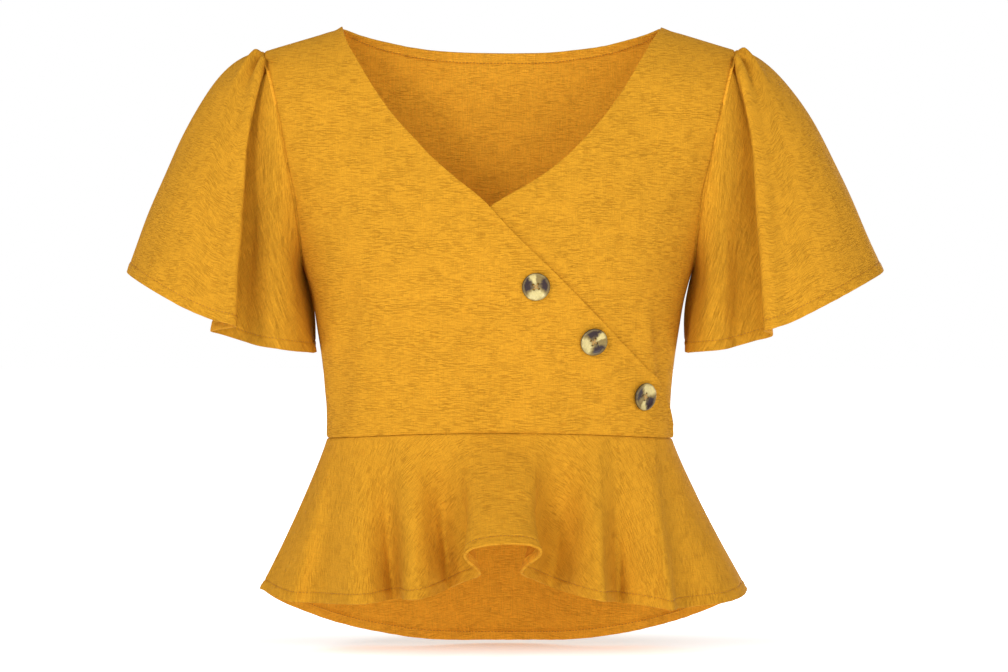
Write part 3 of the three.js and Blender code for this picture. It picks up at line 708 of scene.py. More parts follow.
@dataclass
class ClothPanel:
    """One cut piece of cloth: a grid laid on its form, with a turned hem and sunken seams."""

    name: str
    node: str
    form: BodyForm
    face_material: bpy.types.Material
    inside_material: bpy.types.Material
    thread_material: bpy.types.Material
    wall: float = 1.2
    hem_wall: float = 2.2
    hem_width: float = 9.0
    hem_raise: float = 0.35
    groove_depth: float = 0.75
    groove_width: float = 0.9
    seam_sink: float = 0.9
    seam_width: float = 1.2
    ripple: float = 0.5
    ripple_length: float = 55.0
    ripple_fade: float = 30.0
    pucker: float = 0.26
    pucker_length: float = 9.0
    pucker_reach: float = 7.0
    pucker_place: float = 0.6
    pucker_seed: int = 50
    edge_round: float = 0.35
    edge_angle_limit: float = 55.0
    up_length: float = 360.0
    row_pitch: float = 2.6
    column_pitch: float = 2.4
    tuck: tuple[float, ...] = (1.2, 2.4, 4.0)
    tuck_inset: float = 2.8
    inside_shows: bool = False
    blind_hem: bool = False
    is_tube: bool = False
    seed: int = 1

    def surface(self) -> Array:
        """Place the outer surface as a grid of points, rows by columns."""
        raise NotImplementedError

    def flat(self, points: Array) -> Array:
        """Lay the grid out flat, as it was cut, in millimetres."""
        raise NotImplementedError

    def hem_distance(self, points: Array) -> Array:
        """Measure how far each point lies from the finished edge."""
        raise NotImplementedError

    def seam_distance(self, points: Array) -> Array:
        """Measure how far each point lies from the nearest seam."""
        raise NotImplementedError

    def relief(self, points: Array) -> Array:
        """Work out how far the outer surface is raised by its hem, seams and soft waves."""
        hem = self.hem_distance(points)
        turned = self.hem_raise * (1 - smooth((hem - self.hem_width) / self.groove_width))
        groove = self.groove_depth * hump(hem - self.hem_width, self.groove_width)
        puckers = self.puckers(points, hem - self.hem_width * self.pucker_place)
        return turned - groove + self.drape(points) + puckers

    def drape(self, points: Array) -> Array:
        """Give the soft waves of the cloth, which die out at its sunken seams."""
        seam = self.seam_distance(points)
        soft = self.ripple * waves(points, self.ripple_length, self.seed)
        return soft * smooth(seam / self.ripple_fade) - self.seam_sink * hump(seam, self.seam_width)

    def puckers(self, points: Array, away: Array) -> Array:
        """Give the small puckers that stitching leaves, by how far away it is."""
        small = waves(points, self.pucker_length, self.seed + self.pucker_seed)
        return self.pucker * hump(away, self.pucker_reach) * small

    def stitch_paths(self, points: Array, distance: Array) -> list[Array]:
        """Find the lines that the stitches follow, each as points with normals."""
        if self.blind_hem:
            return []
        grids = (points, normals_of(points, self.is_tube), distance)
        outside = line_at(*(self.from_edge(grid) for grid in grids), self.hem_width)
        if not self.inside_shows:
            return [outside]
        inward = outside[:, 3:]
        return [outside, np.hstack([outside[:, :3] - inward * self.hem_wall, -inward])]

    def from_edge(self, grid: Array) -> Array:
        """Turn a grid so that its first row lies on the finished edge."""
        raise NotImplementedError

    def build(self) -> bpy.types.Object:
        base = self.surface()
        flat = self.flat(base)
        distance = self.hem_distance(base)
        points = base + normals_of(base, self.is_tube) * self.relief(base)[..., None]
        if self.is_tube:
            points[:, -1] = points[:, 0]
        piece = self.mesh_object(points, flat, distance)
        self.thicken(piece)
        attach(piece, "root")
        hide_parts(self.node)
        paths = self.stitch_paths(points, distance)
        stitches = [self.sew(paths)] if paths else []
        log.info("%s: %d points", piece.name, points.shape[0] * points.shape[1])
        return piece

    def mesh_object(self, points: Array, flat: Array, distance: Array) -> bpy.types.Object:
        """Make the grid a mesh with its flat pattern and the weights of its hem."""
        rows, columns = points.shape[:2]
        sheet = bmesh.new()
        pattern = sheet.loops.layers.uv.new("flat")
        weights = sheet.verts.layers.deform.verify()
        bmesh.ops.create_grid(sheet, x_segments=columns - 1, y_segments=rows - 1, size=1.0)
        spots = {}
        for vert in sheet.verts:
            column = round((vert.co.x + 1) / 2 * (columns - 1))
            row = round((vert.co.y + 1) / 2 * (rows - 1))
            spots[vert.index] = (row, column)
            vert.co = Vector(points[row, column]) * MM
            vert[weights][0] = float(distance[row, column] < self.hem_width)
        for sheet_face in sheet.faces:
            for loop in sheet_face.loops:
                loop[pattern].uv = Vector(flat[spots[loop.vert.index]]) * MM
        if self.is_tube:
            bmesh.ops.remove_doubles(sheet, verts=sheet.verts, dist=1e-7)
        piece = new_piece(self.name, sheet)
        piece.vertex_groups.new(name="hem")
        piece.data.materials.append(self.face_material)
        piece.data.materials.append(self.inside_material)
        return piece

    def thicken(self, piece: bpy.types.Object) -> None:
        """Give the cloth its wall, thicker where the hem is turned, and round its edges."""
        wall = piece.modifiers.new("wall", "SOLIDIFY")
        wall.thickness = self.hem_wall * MM
        wall.offset = -1
        wall.vertex_group = "hem"
        wall.thickness_vertex_group = self.wall / self.hem_wall
        wall.use_quality_normals = True
        # The inner shell takes the inside material, whose lighter base is painted light.
        wall.material_offset = 1
        wall.material_offset_rim = 0
        edge = piece.modifiers.new("edge", "BEVEL")
        edge.width = self.edge_round * MM
        edge.segments = 2
        edge.limit_method = "ANGLE"
        edge.angle_limit = math.radians(self.edge_angle_limit)

    def sew(self, paths: list[Array]) -> bpy.types.Object:
        """Lay stitches along the hem's groove, as one joined piece."""
        return StitchRun(self.name + "_stitches", self.thread_material, self.seed).build(paths)


def line_at(points: Array, normals: Array, distance: Array, level: float) -> Array:
    """Find where a grid's columns cross a distance from its first row.

    Args:
        points: the grid, with the finished edge as its first row.
        normals: the grid's normals.
        distance: how far each point lies from the edge.
        level: the distance that is looked for.

    Returns:
        For each column, the point and its normal side by side.
    """
    line = []
    for column in range(points.shape[1]):
        row = int(np.argmax(distance[:, column] >= level))
        if row == 0:
            continue
        low, high = distance[row - 1, column], distance[row, column]
        share = (level - low) / (high - low)
        point = mix(points[row - 1, column], points[row, column], share)
        normal = unit(mix(normals[row - 1, column], normals[row, column], share))
        line.append(np.concatenate([point, normal]))
    return np.array(line)


@dataclass
class StitchRun:
    """Lockstitches along a line, each a small rounded bar of thread."""

    name: str
    material: bpy.types.Material
    seed: int
    pitch: float = 3.1
    length: float = 2.3
    thickness: float = 0.55
    sink: float = 0.05
    shortest: float = 0.85
    longest: float = 1.1
    rise: float = 0.6

    def build(self, paths: list[Array]) -> bpy.types.Object:
        """Make the stitches of every path one piece."""
        bar = bmesh.new()
        bmesh.ops.create_uvsphere(bar, u_segments=6, v_segments=4, radius=1.0)
        shape = np.array([vert.co[:] for vert in bar.verts])
        sides = [[vert.index for vert in bar_face.verts] for bar_face in bar.faces]
        bar.free()
        placed = [self.places(path) for path in paths]
        bases = np.concatenate([sizes for sizes, _ in placed])
        middles = np.concatenate([middle for _, middle in placed])
        points = np.einsum("vk,nkc->nvc", shape, bases) + middles[:, None]
        starts = [number * len(shape) for number in range(len(bases))]
        faces = [[start + index for index in side] for start in starts for side in sides]
        mesh = bpy.data.meshes.new(self.name)
        mesh.from_pydata((points.reshape(-1, 3) * MM).tolist(), [], faces)
        mesh.shade_smooth()
        mesh.materials.append(self.material)
        piece = bpy.data.objects.new(self.name, mesh)
        bpy.context.scene.collection.objects.link(piece)
        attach(piece, "root")
        return piece

    def places(self, path: Array) -> tuple[Array, Array]:
        """Place the stitches of one path, evenly but for a little chance in their length.

        Args:
            path: points and normals side by side.

        Returns:
            Each stitch's half lengths along its three axes, and its middle.
        """
        run = run_along(path[:, :3])
        starts = np.arange(self.pitch / 2, run[-1] - self.pitch, self.pitch)
        chance = np.random.default_rng(self.seed)
        size = self.length * chance.uniform(self.shortest, self.longest, len(starts)) / 2
        half = self.thickness / 2
        middle = self.at(path, run, starts)
        normal = unit(middle[:, 3:])
        along = unit(self.at(path, run, starts + 1)[:, :3] - self.at(path, run, starts - 1)[:, :3])
        across = unit(np.cross(normal, along))
        bases = np.stack([along * size[:, None], across * half, normal * half], axis=1)
        return bases, middle[:, :3] + normal * (half * self.rise - self.sink)

    def at(self, path: Array, run: Array, place: Array) -> Array:
        """Read the path's points and normals at distances along it."""
        return np.stack([np.interp(place, run, path[:, i]) for i in range(6)], axis=-1)


@dataclass
class BodyPanel(ClothPanel):
    """A piece that lies on the body, its rows running up from the waist seam."""

    face: Face = Face.FRONT
    across_length: float = 230.0
    edge_tries: int = 12
    height_tries: int = 8
    angle: Array | None = field(default=None, init=False, repr=False)
    height: Array | None = field(default=None, init=False, repr=False)

    def height_at(self, x: Array, row: Array) -> Array:
        """Give the height at a share of the way from the waist seam to the top line."""
        return mix(self.form.waist_line(self.face, x), self.form.top_line(self.face, x), row)

    def edge_angle(self, across: Callable[[Array], Array], rows: Array) -> Array:
        """Find the angle where each row meets an edge, closer with each try."""
        height = mix(self.form.waist_height, 0.0, rows)
        for _ in range(self.edge_tries):
            height = self.height_at(across(height), rows)
        return self.form.angle_at(self.face, across(height), height)

    def side_angle(self, side: Side, rows: Array) -> Array:
        """Find the angle where each row meets a side seam or the armhole above it."""
        return self.edge_angle(lambda height: self.form.side_across(side, height), rows)

    def lay(self, first: Array, last: Array, rows: Array, columns: Array) -> Array:
        """Lay rows and columns on the body between two edges.

        Args:
            first: the angle of the first edge at each row.
            last: the angle of the last edge at each row.
            rows: shares of the way up.
            columns: shares of the way across.

        Returns:
            The grid of points, with its angles and heights kept for the flat pattern.
        """
        angle = mix(first[:, None], last[:, None], columns[None, :])
        row = np.broadcast_to(rows[:, None], angle.shape)
        height = mix(self.form.waist_height, 0.0, row)
        for _ in range(self.height_tries):
            height = self.height_at(self.form.point(self.face, angle, height)[..., 0], row)
        self.angle, self.height = angle, height
        return self.form.point(self.face, angle, height)

    def flat(self, points: Array) -> Array:
        """Lay the panel out flat, with its middle upright."""
        arc = self.form.arc(self.face, self.angle, self.height)
        return np.stack([arc if self.face is Face.FRONT else -arc, self.height], axis=-1)


@dataclass
class FrontPanel(BodyPanel):
    """A front of the wrap, from its side seam to its free edge."""

    side: Side = Side.RIGHT
    edge: tuple[Across, ...] = ()
    laps_over: bool = False
    blind_hem: bool = True
    edge_lift: float = 0.6
    edge_width: float = 5.0
    pucker: float = 0.3
    pucker_length: float = 10.0
    pucker_reach: float = 16.0

    def surface(self) -> Array:
        """Place the outer surface from the wearer's right to left."""
        rows = stations(self.up_length, self.row_pitch, EdgeKind.SEAM, EdgeKind.SEAM)
        columns = stations(self.across_length, self.column_pitch, EdgeKind.SEAM, EdgeKind.HEM)
        outer = self.side_angle(self.side, rows)
        free = self.edge_angle(lambda height: read(self.edge, "height", "across", height), rows)
        if self.side is Side.RIGHT:
            points = self.lay(outer, free, rows, columns)
        else:
            points = self.lay(free, outer, rows, 1 - columns[::-1])
        if not self.laps_over:
            return points
        normal = self.form.normal(self.face, self.angle, self.height)
        return points + normal * self.form.lap(self.height)[..., None]

    def relief(self, points: Array) -> Array:
        """Lift the free edge softly, with small puckers across it and no stitched groove."""
        hem = self.hem_distance(points)
        lifted = self.edge_lift * hump(hem, self.edge_width)
        return lifted + self.drape(points) + self.puckers(points, hem)

    def from_edge(self, grid: Array) -> Array:
        """Turn the grid so that its first row lies on the free edge."""
        turned = np.swapaxes(grid, 0, 1)
        return turned[::-1] if self.side is Side.RIGHT else turned

    def hem_distance(self, points: Array) -> Array:
        """Measure how far each point lies from the free edge."""
        edge = self.from_edge(points)[0]
        away = np.full(points.shape[:2], np.inf)
        for start, end in zip(edge[:-1], edge[1:], strict=True):
            run = end - start
            share = np.clip((points - start) @ run / (run @ run), 0, 1)
            gap = np.linalg.norm(points - start - share[..., None] * run, axis=-1)
            away = np.minimum(away, gap)
        return away

    def seam_distance(self, points: Array) -> Array:
        """Measure how far each point lies from the side, waist and shoulder seams."""
        up = run_from(points, 0)
        out = run_from(points, 1)
        side = out if self.side is Side.RIGHT else out[:, -1:] - out
        return np.minimum(np.minimum(up, up[-1:] - up), side)


@dataclass
class BackPanel(BodyPanel):
    """The back, from side seam to side seam, with its hollowed neck."""

    face: Face = Face.BACK
    up_length: float = 352.0
    across_length: float = 470.0
    row_pitch: float = 3.2
    column_pitch: float = 3.6

    def surface(self) -> Array:
        """Place the outer surface from the wearer's left to right."""
        rows = stations(self.up_length, self.row_pitch, EdgeKind.SEAM, EdgeKind.HEM)
        columns = stations(self.across_length, self.column_pitch, EdgeKind.SEAM, EdgeKind.SEAM)
        left, right = (self.side_angle(side, rows) for side in (Side.LEFT, Side.RIGHT))
        return self.lay(left, right + 360, rows, columns)

    def from_edge(self, grid: Array) -> Array:
        """Turn the grid so that its first row lies on the neck and shoulders."""
        return grid[::-1]

    def neck_edge(self, points: Array) -> Array:
        """Tell which columns end at the neck."""
        return np.abs(points[-1, :, 0]) < self.form.neck_half

    def hem_distance(self, points: Array) -> Array:
        """Measure how far each point lies from the neck's edge."""
        up = run_from(points, 0)
        down = up[-1:] - up
        return np.where(self.neck_edge(points)[None, :], down, FAR)

    def seam_distance(self, points: Array) -> Array:
        """Measure how far each point lies from the side, waist and shoulder seams."""
        up = run_from(points, 0)
        out = run_from(points, 1)
        top = np.where(self.neck_edge(points)[None, :], FAR, up[-1:] - up)
        side = np.minimum(out, out[:, -1:] - out)
        return np.minimum(np.minimum(up, top), side)


@dataclass
class Sleeve(ClothPanel):
    """A flutter sleeve that falls from the armhole in loose folds."""

    side: Side = Side.RIGHT
    hem: tuple[SleeveTurn, ...] = ()
    laps_over: bool = False
    spring: tuple[Spring, ...] = ()
    pleats: tuple[Pleat, ...] = ()
    droop: float = 0.45
    gap: float = 0.15
    pleat_rise: float = 0.07
    pleat_depth: float = 1.6
    up_length: float = 190.0
    row_pitch: float = 2.8
    columns: int = 340
    fine_steps: int = 2001
    cap_level: float = 0.15

    def armhole(self, around: Array) -> tuple[Array, Array]:
        """Place points round the armhole seam, and give the body's normals there."""
        form = self.form
        tip = form.middle + self.side.value * form.shoulder_tip
        rise = (1 - np.cos(2 * np.pi * around)) / 2
        height = mix(form.underarm_height, float(form.shoulder_line(tip)), rise)
        across = form.side_across(self.side, height)
        placed = []
        for face in Face:
            angle = form.angle_at(face, across, height)
            angle = np.where(np.minimum(around, 1 - around) < 1e-6, self.side.value * 90, angle)
            point = form.point(face, angle, height)
            point[..., 0] = across
            normal = form.normal(face, angle, height)
            if face is Face.FRONT and self.laps_over:
                point = point + normal * form.lap(height)[..., None]
            placed.append((point, normal))
        is_behind = (around > 0.5)[..., None]
        is_tip = (np.abs(around - 0.5) < 1e-6)[..., None]
        point, normal = (np.where(is_behind, placed[1][i], placed[0][i]) for i in range(2))
        top = np.array([tip, 0, float(form.shoulder_line(tip))])
        return np.where(is_tip, top, point), np.where(is_tip, np.array([0, 0, 1.0]), normal)

    def at(self, around: Array, down: Array) -> Array:
        """Place points of the sleeve, from the armhole at 0 down to the hem at 1."""
        hand = self.side.value
        turn = np.mod(around, 1)
        mirrored = np.where(turn > 0.5, 1 - turn, turn)
        start, inwards = self.armhole(turn)
        start[..., 0] += hand * self.gap
        spring = [read(self.spring, "around", name, mirrored) for name in ("out", "side", "up")]
        sideways = np.where(turn > 0.5, 1, -1) * spring[1]
        first = start + np.stack([hand * spring[0], sideways, spring[2]], axis=-1)
        hem = [read(self.hem, "around", name, turn) for name in ("out", "front", "up")]
        end = np.stack([hand * hem[0], -hem[1], hem[2]], axis=-1)
        second = mix(end, first, self.droop)
        t = np.clip(down, 0, 1)[..., None]
        upper = (1 - t) ** 3 * start + 3 * (1 - t) ** 2 * t * first
        point = upper + 3 * (1 - t) * t**2 * second + t**3 * end
        tucked = np.maximum(-down, 0)[..., None]
        point[..., :1] -= hand * tucked
        return point - inwards * self.tuck_inset * smooth(tucked / self.tuck[0])

    def surface(self) -> Array:
        """Place the outer surface, from the underarm round the front to the underarm again."""
        tuck = -np.array(self.tuck[::-1])
        rows = np.concatenate([tuck, stations(self.up_length, self.row_pitch, EdgeKind.SEAM, EdgeKind.HEM)])
        columns = self.turns() if self.side is Side.RIGHT else self.turns()[::-1]
        around, down = np.meshgrid(columns, rows)
        points = self.at(around, down)
        normals = normals_of(points, True)
        lift = np.zeros_like(down)
        for pleat in self.pleats:
            rise = smooth(down / self.pleat_rise)
            fall = 1 - smooth(down / pleat.reach)
            lift += pleat.height * rise * fall * hump(around - pleat.around, pleat.width)
        return points + normals * (lift * self.pleat_depth)[..., None]

    def turns(self) -> Array:
        """Divide the way round the sleeve evenly along its hem and its cap together."""
        fine = np.linspace(0, 1, self.fine_steps)
        both = self.at(fine, np.ones_like(fine)) + self.at(fine, np.full_like(fine, self.cap_level))
        run = run_along(both)
        return np.interp(np.linspace(0, run[-1], self.columns), run, fine)

    def flat(self, points: Array) -> Array:
        """Lay the sleeve out flat, as part of a ring."""
        return ring_sector(points)

    def from_edge(self, grid: Array) -> Array:
        """Turn the grid so that its first row lies on the hem."""
        return grid[::-1]

    def hem_distance(self, points: Array) -> Array:
        """Measure how far each point lies from the hem."""
        down = run_from(points, 0)
        return down[-1:] - down

    def seam_distance(self, points: Array) -> Array:
        """Measure how far each point lies from the armhole seam."""
        down = run_from(points, 0)
        return np.abs(down - down[len(self.tuck)])


def ring_sector(points: Array) -> Array:
    """Lay a flared grid out flat as part of a ring, with its first row on the inner edge.

    Args:
        points: the grid, from its narrow row to its wide one.

    Returns:
        The flat places, with the middle column running straight down.
    """
    widths = np.linalg.norm(np.diff(points, axis=1), axis=-1).sum(axis=1)
    down = run_from(points, 0)
    mean = down.mean(axis=1)
    spread = (widths[-1] - widths[0]) / mean[-1]
    inner = widths[0] / spread
    share = run_from(points, 1) / widths[:, None] - 0.5
    share = mix(share, share[-1:], 0.5)
    radius = inner + down
    return np.stack([radius * np.sin(share * spread), -radius * np.cos(share * spread)], axis=-1)


@dataclass
class Peplum(ClothPanel):
    """A flounce that hangs from the waist seam; its rows run up from the hem."""

    first_angle: float = -90.0
    last_angle: float = 90.0
    lift: float = 1.4
    flare_power: float = 1.12
    seat_drop: float = 0.1
    up_length: float = 150.0
    row_pitch: float = 2.4
    column_pitch: float = 2.6
    fine_steps: int = 4001

    def hem_at(self, angle: Array) -> Array:
        """Place points of the hem."""
        raise NotImplementedError

    def waist_at(self, angle: Array) -> tuple[Array, Array]:
        """Place points of the waist seam, and give the body's normals there."""
        raise NotImplementedError

    def at(self, angle: Array, down: Array) -> Array:
        """Place points from the waist at 0 down to the hem at 1; below 0 they are tucked inside."""
        fall = np.clip(down, 0, 1)
        waist, normal = self.waist_at(angle)
        hem = self.hanging_hem(angle, fall)
        flare = fall**self.flare_power
        tucked = np.maximum(-down, 0)
        point = np.stack([
            mix(waist[..., 0], hem[..., 0], flare),
            mix(waist[..., 1], hem[..., 1], flare),
            mix(waist[..., 2] - self.seat_drop, hem[..., 2], fall) + tucked,
        ], axis=-1)
        return point - normal * (self.lift + self.tuck_inset) * smooth(tucked / self.tuck[0])[..., None]

    def hanging_hem(self, angle: Array, down: Array) -> Array:
        """Give the hem that the cloth at each depth hangs towards."""
        return self.hem_at(angle)

    def surface(self) -> Array:
        """Place the outer surface."""
        rows = 1 - stations(self.up_length, self.row_pitch, EdgeKind.HEM, EdgeKind.SEAM)
        rows = np.concatenate([rows, -np.array(self.tuck)])
        fine = np.linspace(self.first_angle, self.last_angle, self.fine_steps)
        run = run_along(self.hem_at(fine))
        shares = stations(float(run[-1]), self.column_pitch, EdgeKind.SEAM, EdgeKind.SEAM)
        columns = np.interp(shares * run[-1], run, fine)
        angle, down = np.meshgrid(columns, rows)
        return self.at(angle, down)

    def flat(self, points: Array) -> Array:
        """Lay the flounce out flat, as part of a ring."""
        return ring_sector(points[::-1])[::-1]

    def from_edge(self, grid: Array) -> Array:
        """Give the grid, whose first row lies on the hem."""
        return grid

    def hem_distance(self, points: Array) -> Array:
        """Measure how far each point lies from the hem."""
        return run_from(points, 0)

    def seam_distance(self, points: Array) -> Array:
        """Measure how far each point lies from the waist and side seams."""
        up = run_from(points, 0)
        out = run_from(points, 1)
        waist = np.abs(up[-1 - len(self.tuck)] - up)
        return np.minimum(waist, np.minimum(out, out[:, -1:] - out))


@dataclass
class FrontPeplum(Peplum):
    """The front flounce, with crests and troughs that sharpen on the way down."""

    hem: tuple[HemTurn, ...] = ()
    soft_reach: float = 4.0
    sharpen_power: float = 1.2
    waist_tries: int = 6

    def hem_at(self, angle: Array) -> Array:
        """Place points of the hem."""
        across, front, up = (read(self.hem, "angle", name, angle) for name in ("across", "front", "up"))
        return np.stack([across, -front, up], axis=-1)

    def hanging_hem(self, angle: Array, down: Array) -> Array:
        """Soften the hem's turns near the waist."""
        reach = np.minimum(self.soft_reach, 90 - np.abs(angle))
        shares = (-1, -0.5, 0, 0.5, 1)
        soft = sum(self.hem_at(angle + share * reach) for share in shares) / len(shares)
        return mix(soft, self.hem_at(angle), (down**self.sharpen_power)[..., None])

    def waist_at(self, angle: Array) -> tuple[Array, Array]:
        """Place points just outside the front's waist line, and give the body's normals there."""
        height = np.full_like(angle, self.form.waist_height)
        for _ in range(self.waist_tries):
            height = self.form.waist_line(Face.FRONT, self.form.point(Face.FRONT, angle, height)[..., 0])
        normal = self.form.normal(Face.FRONT, angle, height)
        return self.form.point(Face.FRONT, angle, height) + normal * self.lift, normal


@dataclass
class BackPeplum(Peplum):
    """The back flounce, whose hem drops to the middle in shallow flutes."""

    hem_left: float = 213.0
    hem_right: float = 216.0
    hem_depth: float = 150.0
    hem_height: float = -493.5
    drop: float = 56.5
    drop_power: float = 1.45
    flutes: int = 5
    flute_depth: float = 13.0
    flute_sway: float = 0.3
    column_pitch: float = 3.4

    def hem_at(self, angle: Array) -> Array:
        """Place points of the hem."""
        power = 2 / self.form.section_power
        sine, cosine = np.sin(np.radians(angle)), np.abs(np.cos(np.radians(angle)))
        half = np.where(sine > 0, self.hem_right, self.hem_left)
        flute = self.flute_depth * np.cos(np.radians(angle * 2 * self.flutes)) * cosine
        return np.stack([
            (half + flute * self.flute_sway) * np.sign(sine) * np.abs(sine) ** power,
            (self.hem_depth + flute) * cosine**power,
            self.hem_height - self.drop * cosine**self.drop_power,
        ], axis=-1)

    def waist_at(self, angle: Array) -> tuple[Array, Array]:
        """Place points of the back's waist line, and give the body's normals there."""
        height = np.full_like(angle, self.form.waist_height)
        normal = self.form.normal(Face.BACK, angle, height)
        return self.form.point(Face.BACK, angle, height) + normal * self.lift, normal


class ButtonPlace(NamedTuple):
    """Where a button sits, how far it is turned, and how far its colours are."""

    across: float
    height: float
    turn: float
    streaks: float


@dataclass
class Buttons:
    """Dished horn buttons with four holes, sewn on with crossed thread."""

    form: BodyForm
    horn: HornFinish
    thread_material: bpy.types.Material
    radius: float = 12.0
    rim: float = 10.2
    dish: float = 7.4
    thickness: float = 3.4
    floor: float = 2.2
    hole_radius: float = 0.95
    hole_ring: float = 2.9
    holes: int = 4
    strand_over: float = 0.35
    strand_size: tuple[float, float] = (0.42, 0.5)
    strand_aside: float = 0.38
    strand_lift: float = 0.05
    seat_gap: float = 0.3
    seat_steps: int = 16
    seat_rings: tuple[float, ...] = (0.5, 0.75, 0.9)
    places: tuple[ButtonPlace, ...] = (
        ButtonPlace(across=28.7, height=-228.4, turn=12, streaks=12),
        ButtonPlace(across=77.5, height=-275.1, turn=40, streaks=97),
        ButtonPlace(across=120.6, height=-322.8, turn=65, streaks=240),
    )

    def build(self) -> list[bpy.types.Object]:
        """Build each button and its thread."""
        made = []
        for number, place in enumerate(self.places, 1):
            node = f"button_{number}"
            seat = self.seat(place)
            button = self.disc(f"{node}_horn", self.horn.material(place.streaks), seat)
            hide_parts(node)
            thread = self.thread(f"{node}_thread", seat)
            for piece in (button, thread):
                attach(piece, "root")
            made += [button, thread]
        log.info("buttons: %d pieces", len(made))
        return made

    def on_cloth(self, across: float, height: float) -> Array:
        """Place a point on the front at a distance across."""
        x, z = np.array([across], float), np.array([height], float)
        return self.form.point(Face.FRONT, self.form.angle_at(Face.FRONT, x, z), z)[0]

    def seat(self, place: ButtonPlace) -> Matrix:
        """Work out where a button lies flat on the highest cloth beneath it."""
        reach = self.radius * self.seat_rings[1]
        right = self.on_cloth(place.across + reach, place.height)
        left = self.on_cloth(place.across - reach, place.height)
        above = self.on_cloth(place.across, place.height + reach)
        below = self.on_cloth(place.across, place.height - reach)
        normal = unit(np.cross(right - left, above - below))
        middle = self.on_cloth(place.across, place.height)
        highest = 0.0
        for turn in np.arange(self.seat_steps) * 2 * math.pi / self.seat_steps:
            for ring in self.seat_rings:
                out = ring * self.radius
                across = place.across + out * math.cos(turn)
                spot = self.on_cloth(across, place.height + out * math.sin(turn))
                highest = max(highest, float((spot - middle) @ normal))
        lift = highest + self.form.lap_lift + self.seat_gap
        tilt = Vector((0, 0, 1)).rotation_difference(Vector(normal)).to_matrix().to_4x4()
        spin = Matrix.Rotation(math.radians(place.turn), 4, "Z")
        return Matrix.Translation(Vector(middle + normal * lift)) @ tilt @ spin

    def disc(self, name: str, material: bpy.types.Material, seat: Matrix) -> bpy.types.Object:
        """Turn the button's profile, bore its holes and lay it on its seat."""
        profile = [
            (0, 0), (self.radius * 0.7, 0), (self.radius * 0.88, self.thickness * 0.16),
            (self.radius * 0.985, self.thickness * 0.42), (self.radius, self.thickness * 0.62),
            (self.radius * 0.985, self.thickness * 0.84), ((self.radius + self.rim) / 2, self.thickness),
            (self.rim, self.thickness * 0.98), (self.rim - 0.7, self.thickness * 0.88),
            (self.rim - 1.5, self.floor + 0.35), (self.dish, self.floor + 0.08),
            (self.dish * 0.7, self.floor), (self.dish * 0.35, self.floor), (0, self.floor),
        ]
        disc = bmesh.new()
        points = [disc.verts.new((out, 0, up)) for out, up in profile]
        edges = [disc.edges.new(pair) for pair in zip(points[:-1], points[1:], strict=True)]
        bmesh.ops.spin(disc, geom=points + edges, axis=(0, 0, 1), cent=(0, 0, 0),
                       angle=2 * math.pi, steps=64, use_merge=True)
        bmesh.ops.remove_doubles(disc, verts=disc.verts, dist=1e-4)
        bmesh.ops.recalc_face_normals(disc, faces=disc.faces)
        piece = new_piece(name, disc)
        self.bore(piece)
        plan = piece.data.uv_layers.new(name="plan")
        for loop, spot in zip(piece.data.loops, plan.uv, strict=True):
            place = piece.data.vertices[loop.vertex_index].co
            spot.vector = (place.x / (2 * self.radius), place.y / (2 * self.radius))
        piece.data.transform(Matrix.Scale(MM, 4) @ seat)
        piece.data.materials.clear()
        piece.data.materials.append(material)
        return piece

    def bore(self, piece: bpy.types.Object) -> None:
        """Cut the holes through a button that still lies flat."""
        cutters = bmesh.new()
        for hole in range(self.holes):
            turn = 2 * math.pi * (hole + 0.5) / self.holes
            place = Vector((self.hole_ring * math.cos(turn), self.hole_ring * math.sin(turn), 0))
            bmesh.ops.create_cone(cutters, cap_ends=True, segments=20, radius1=self.hole_radius,
                                  radius2=self.hole_radius, depth=self.thickness * 4,
                                  matrix=Matrix.Translation(place))
        tool = new_piece("holes", cutters, is_smooth=False)
        cut = piece.modifiers.new("holes", "BOOLEAN")
        cut.object = tool
        cut.solver = "EXACT"
        bpy.context.view_layer.update()
        bored = piece.evaluated_get(bpy.context.evaluated_depsgraph_get())
        result = bpy.data.meshes.new_from_object(bored)
        piece.modifiers.clear()
        piece.data = result
        bpy.data.objects.remove(tool)

    def thread(self, name: str, seat: Matrix) -> bpy.types.Object:
        """Cross thread over the button from hole to hole."""
        strands = bmesh.new()
        size = Matrix.Diagonal((self.hole_ring + self.strand_over, *self.strand_size, 1.0))
        for turn in (math.pi / 4, 3 * math.pi / 4):
            for aside in (-self.strand_aside, self.strand_aside):
                level = Matrix.Translation((0, aside, self.floor + self.strand_lift))
                bmesh.ops.create_uvsphere(strands, u_segments=8, v_segments=10, radius=1.0,
                                          matrix=Matrix.Rotation(turn, 4, "Z") @ level @ size)
        piece = new_piece(name, strands)
        piece.data.transform(Matrix.Scale(MM, 4) @ seat)
        piece.data.materials.append(self.thread_material)
        return piece


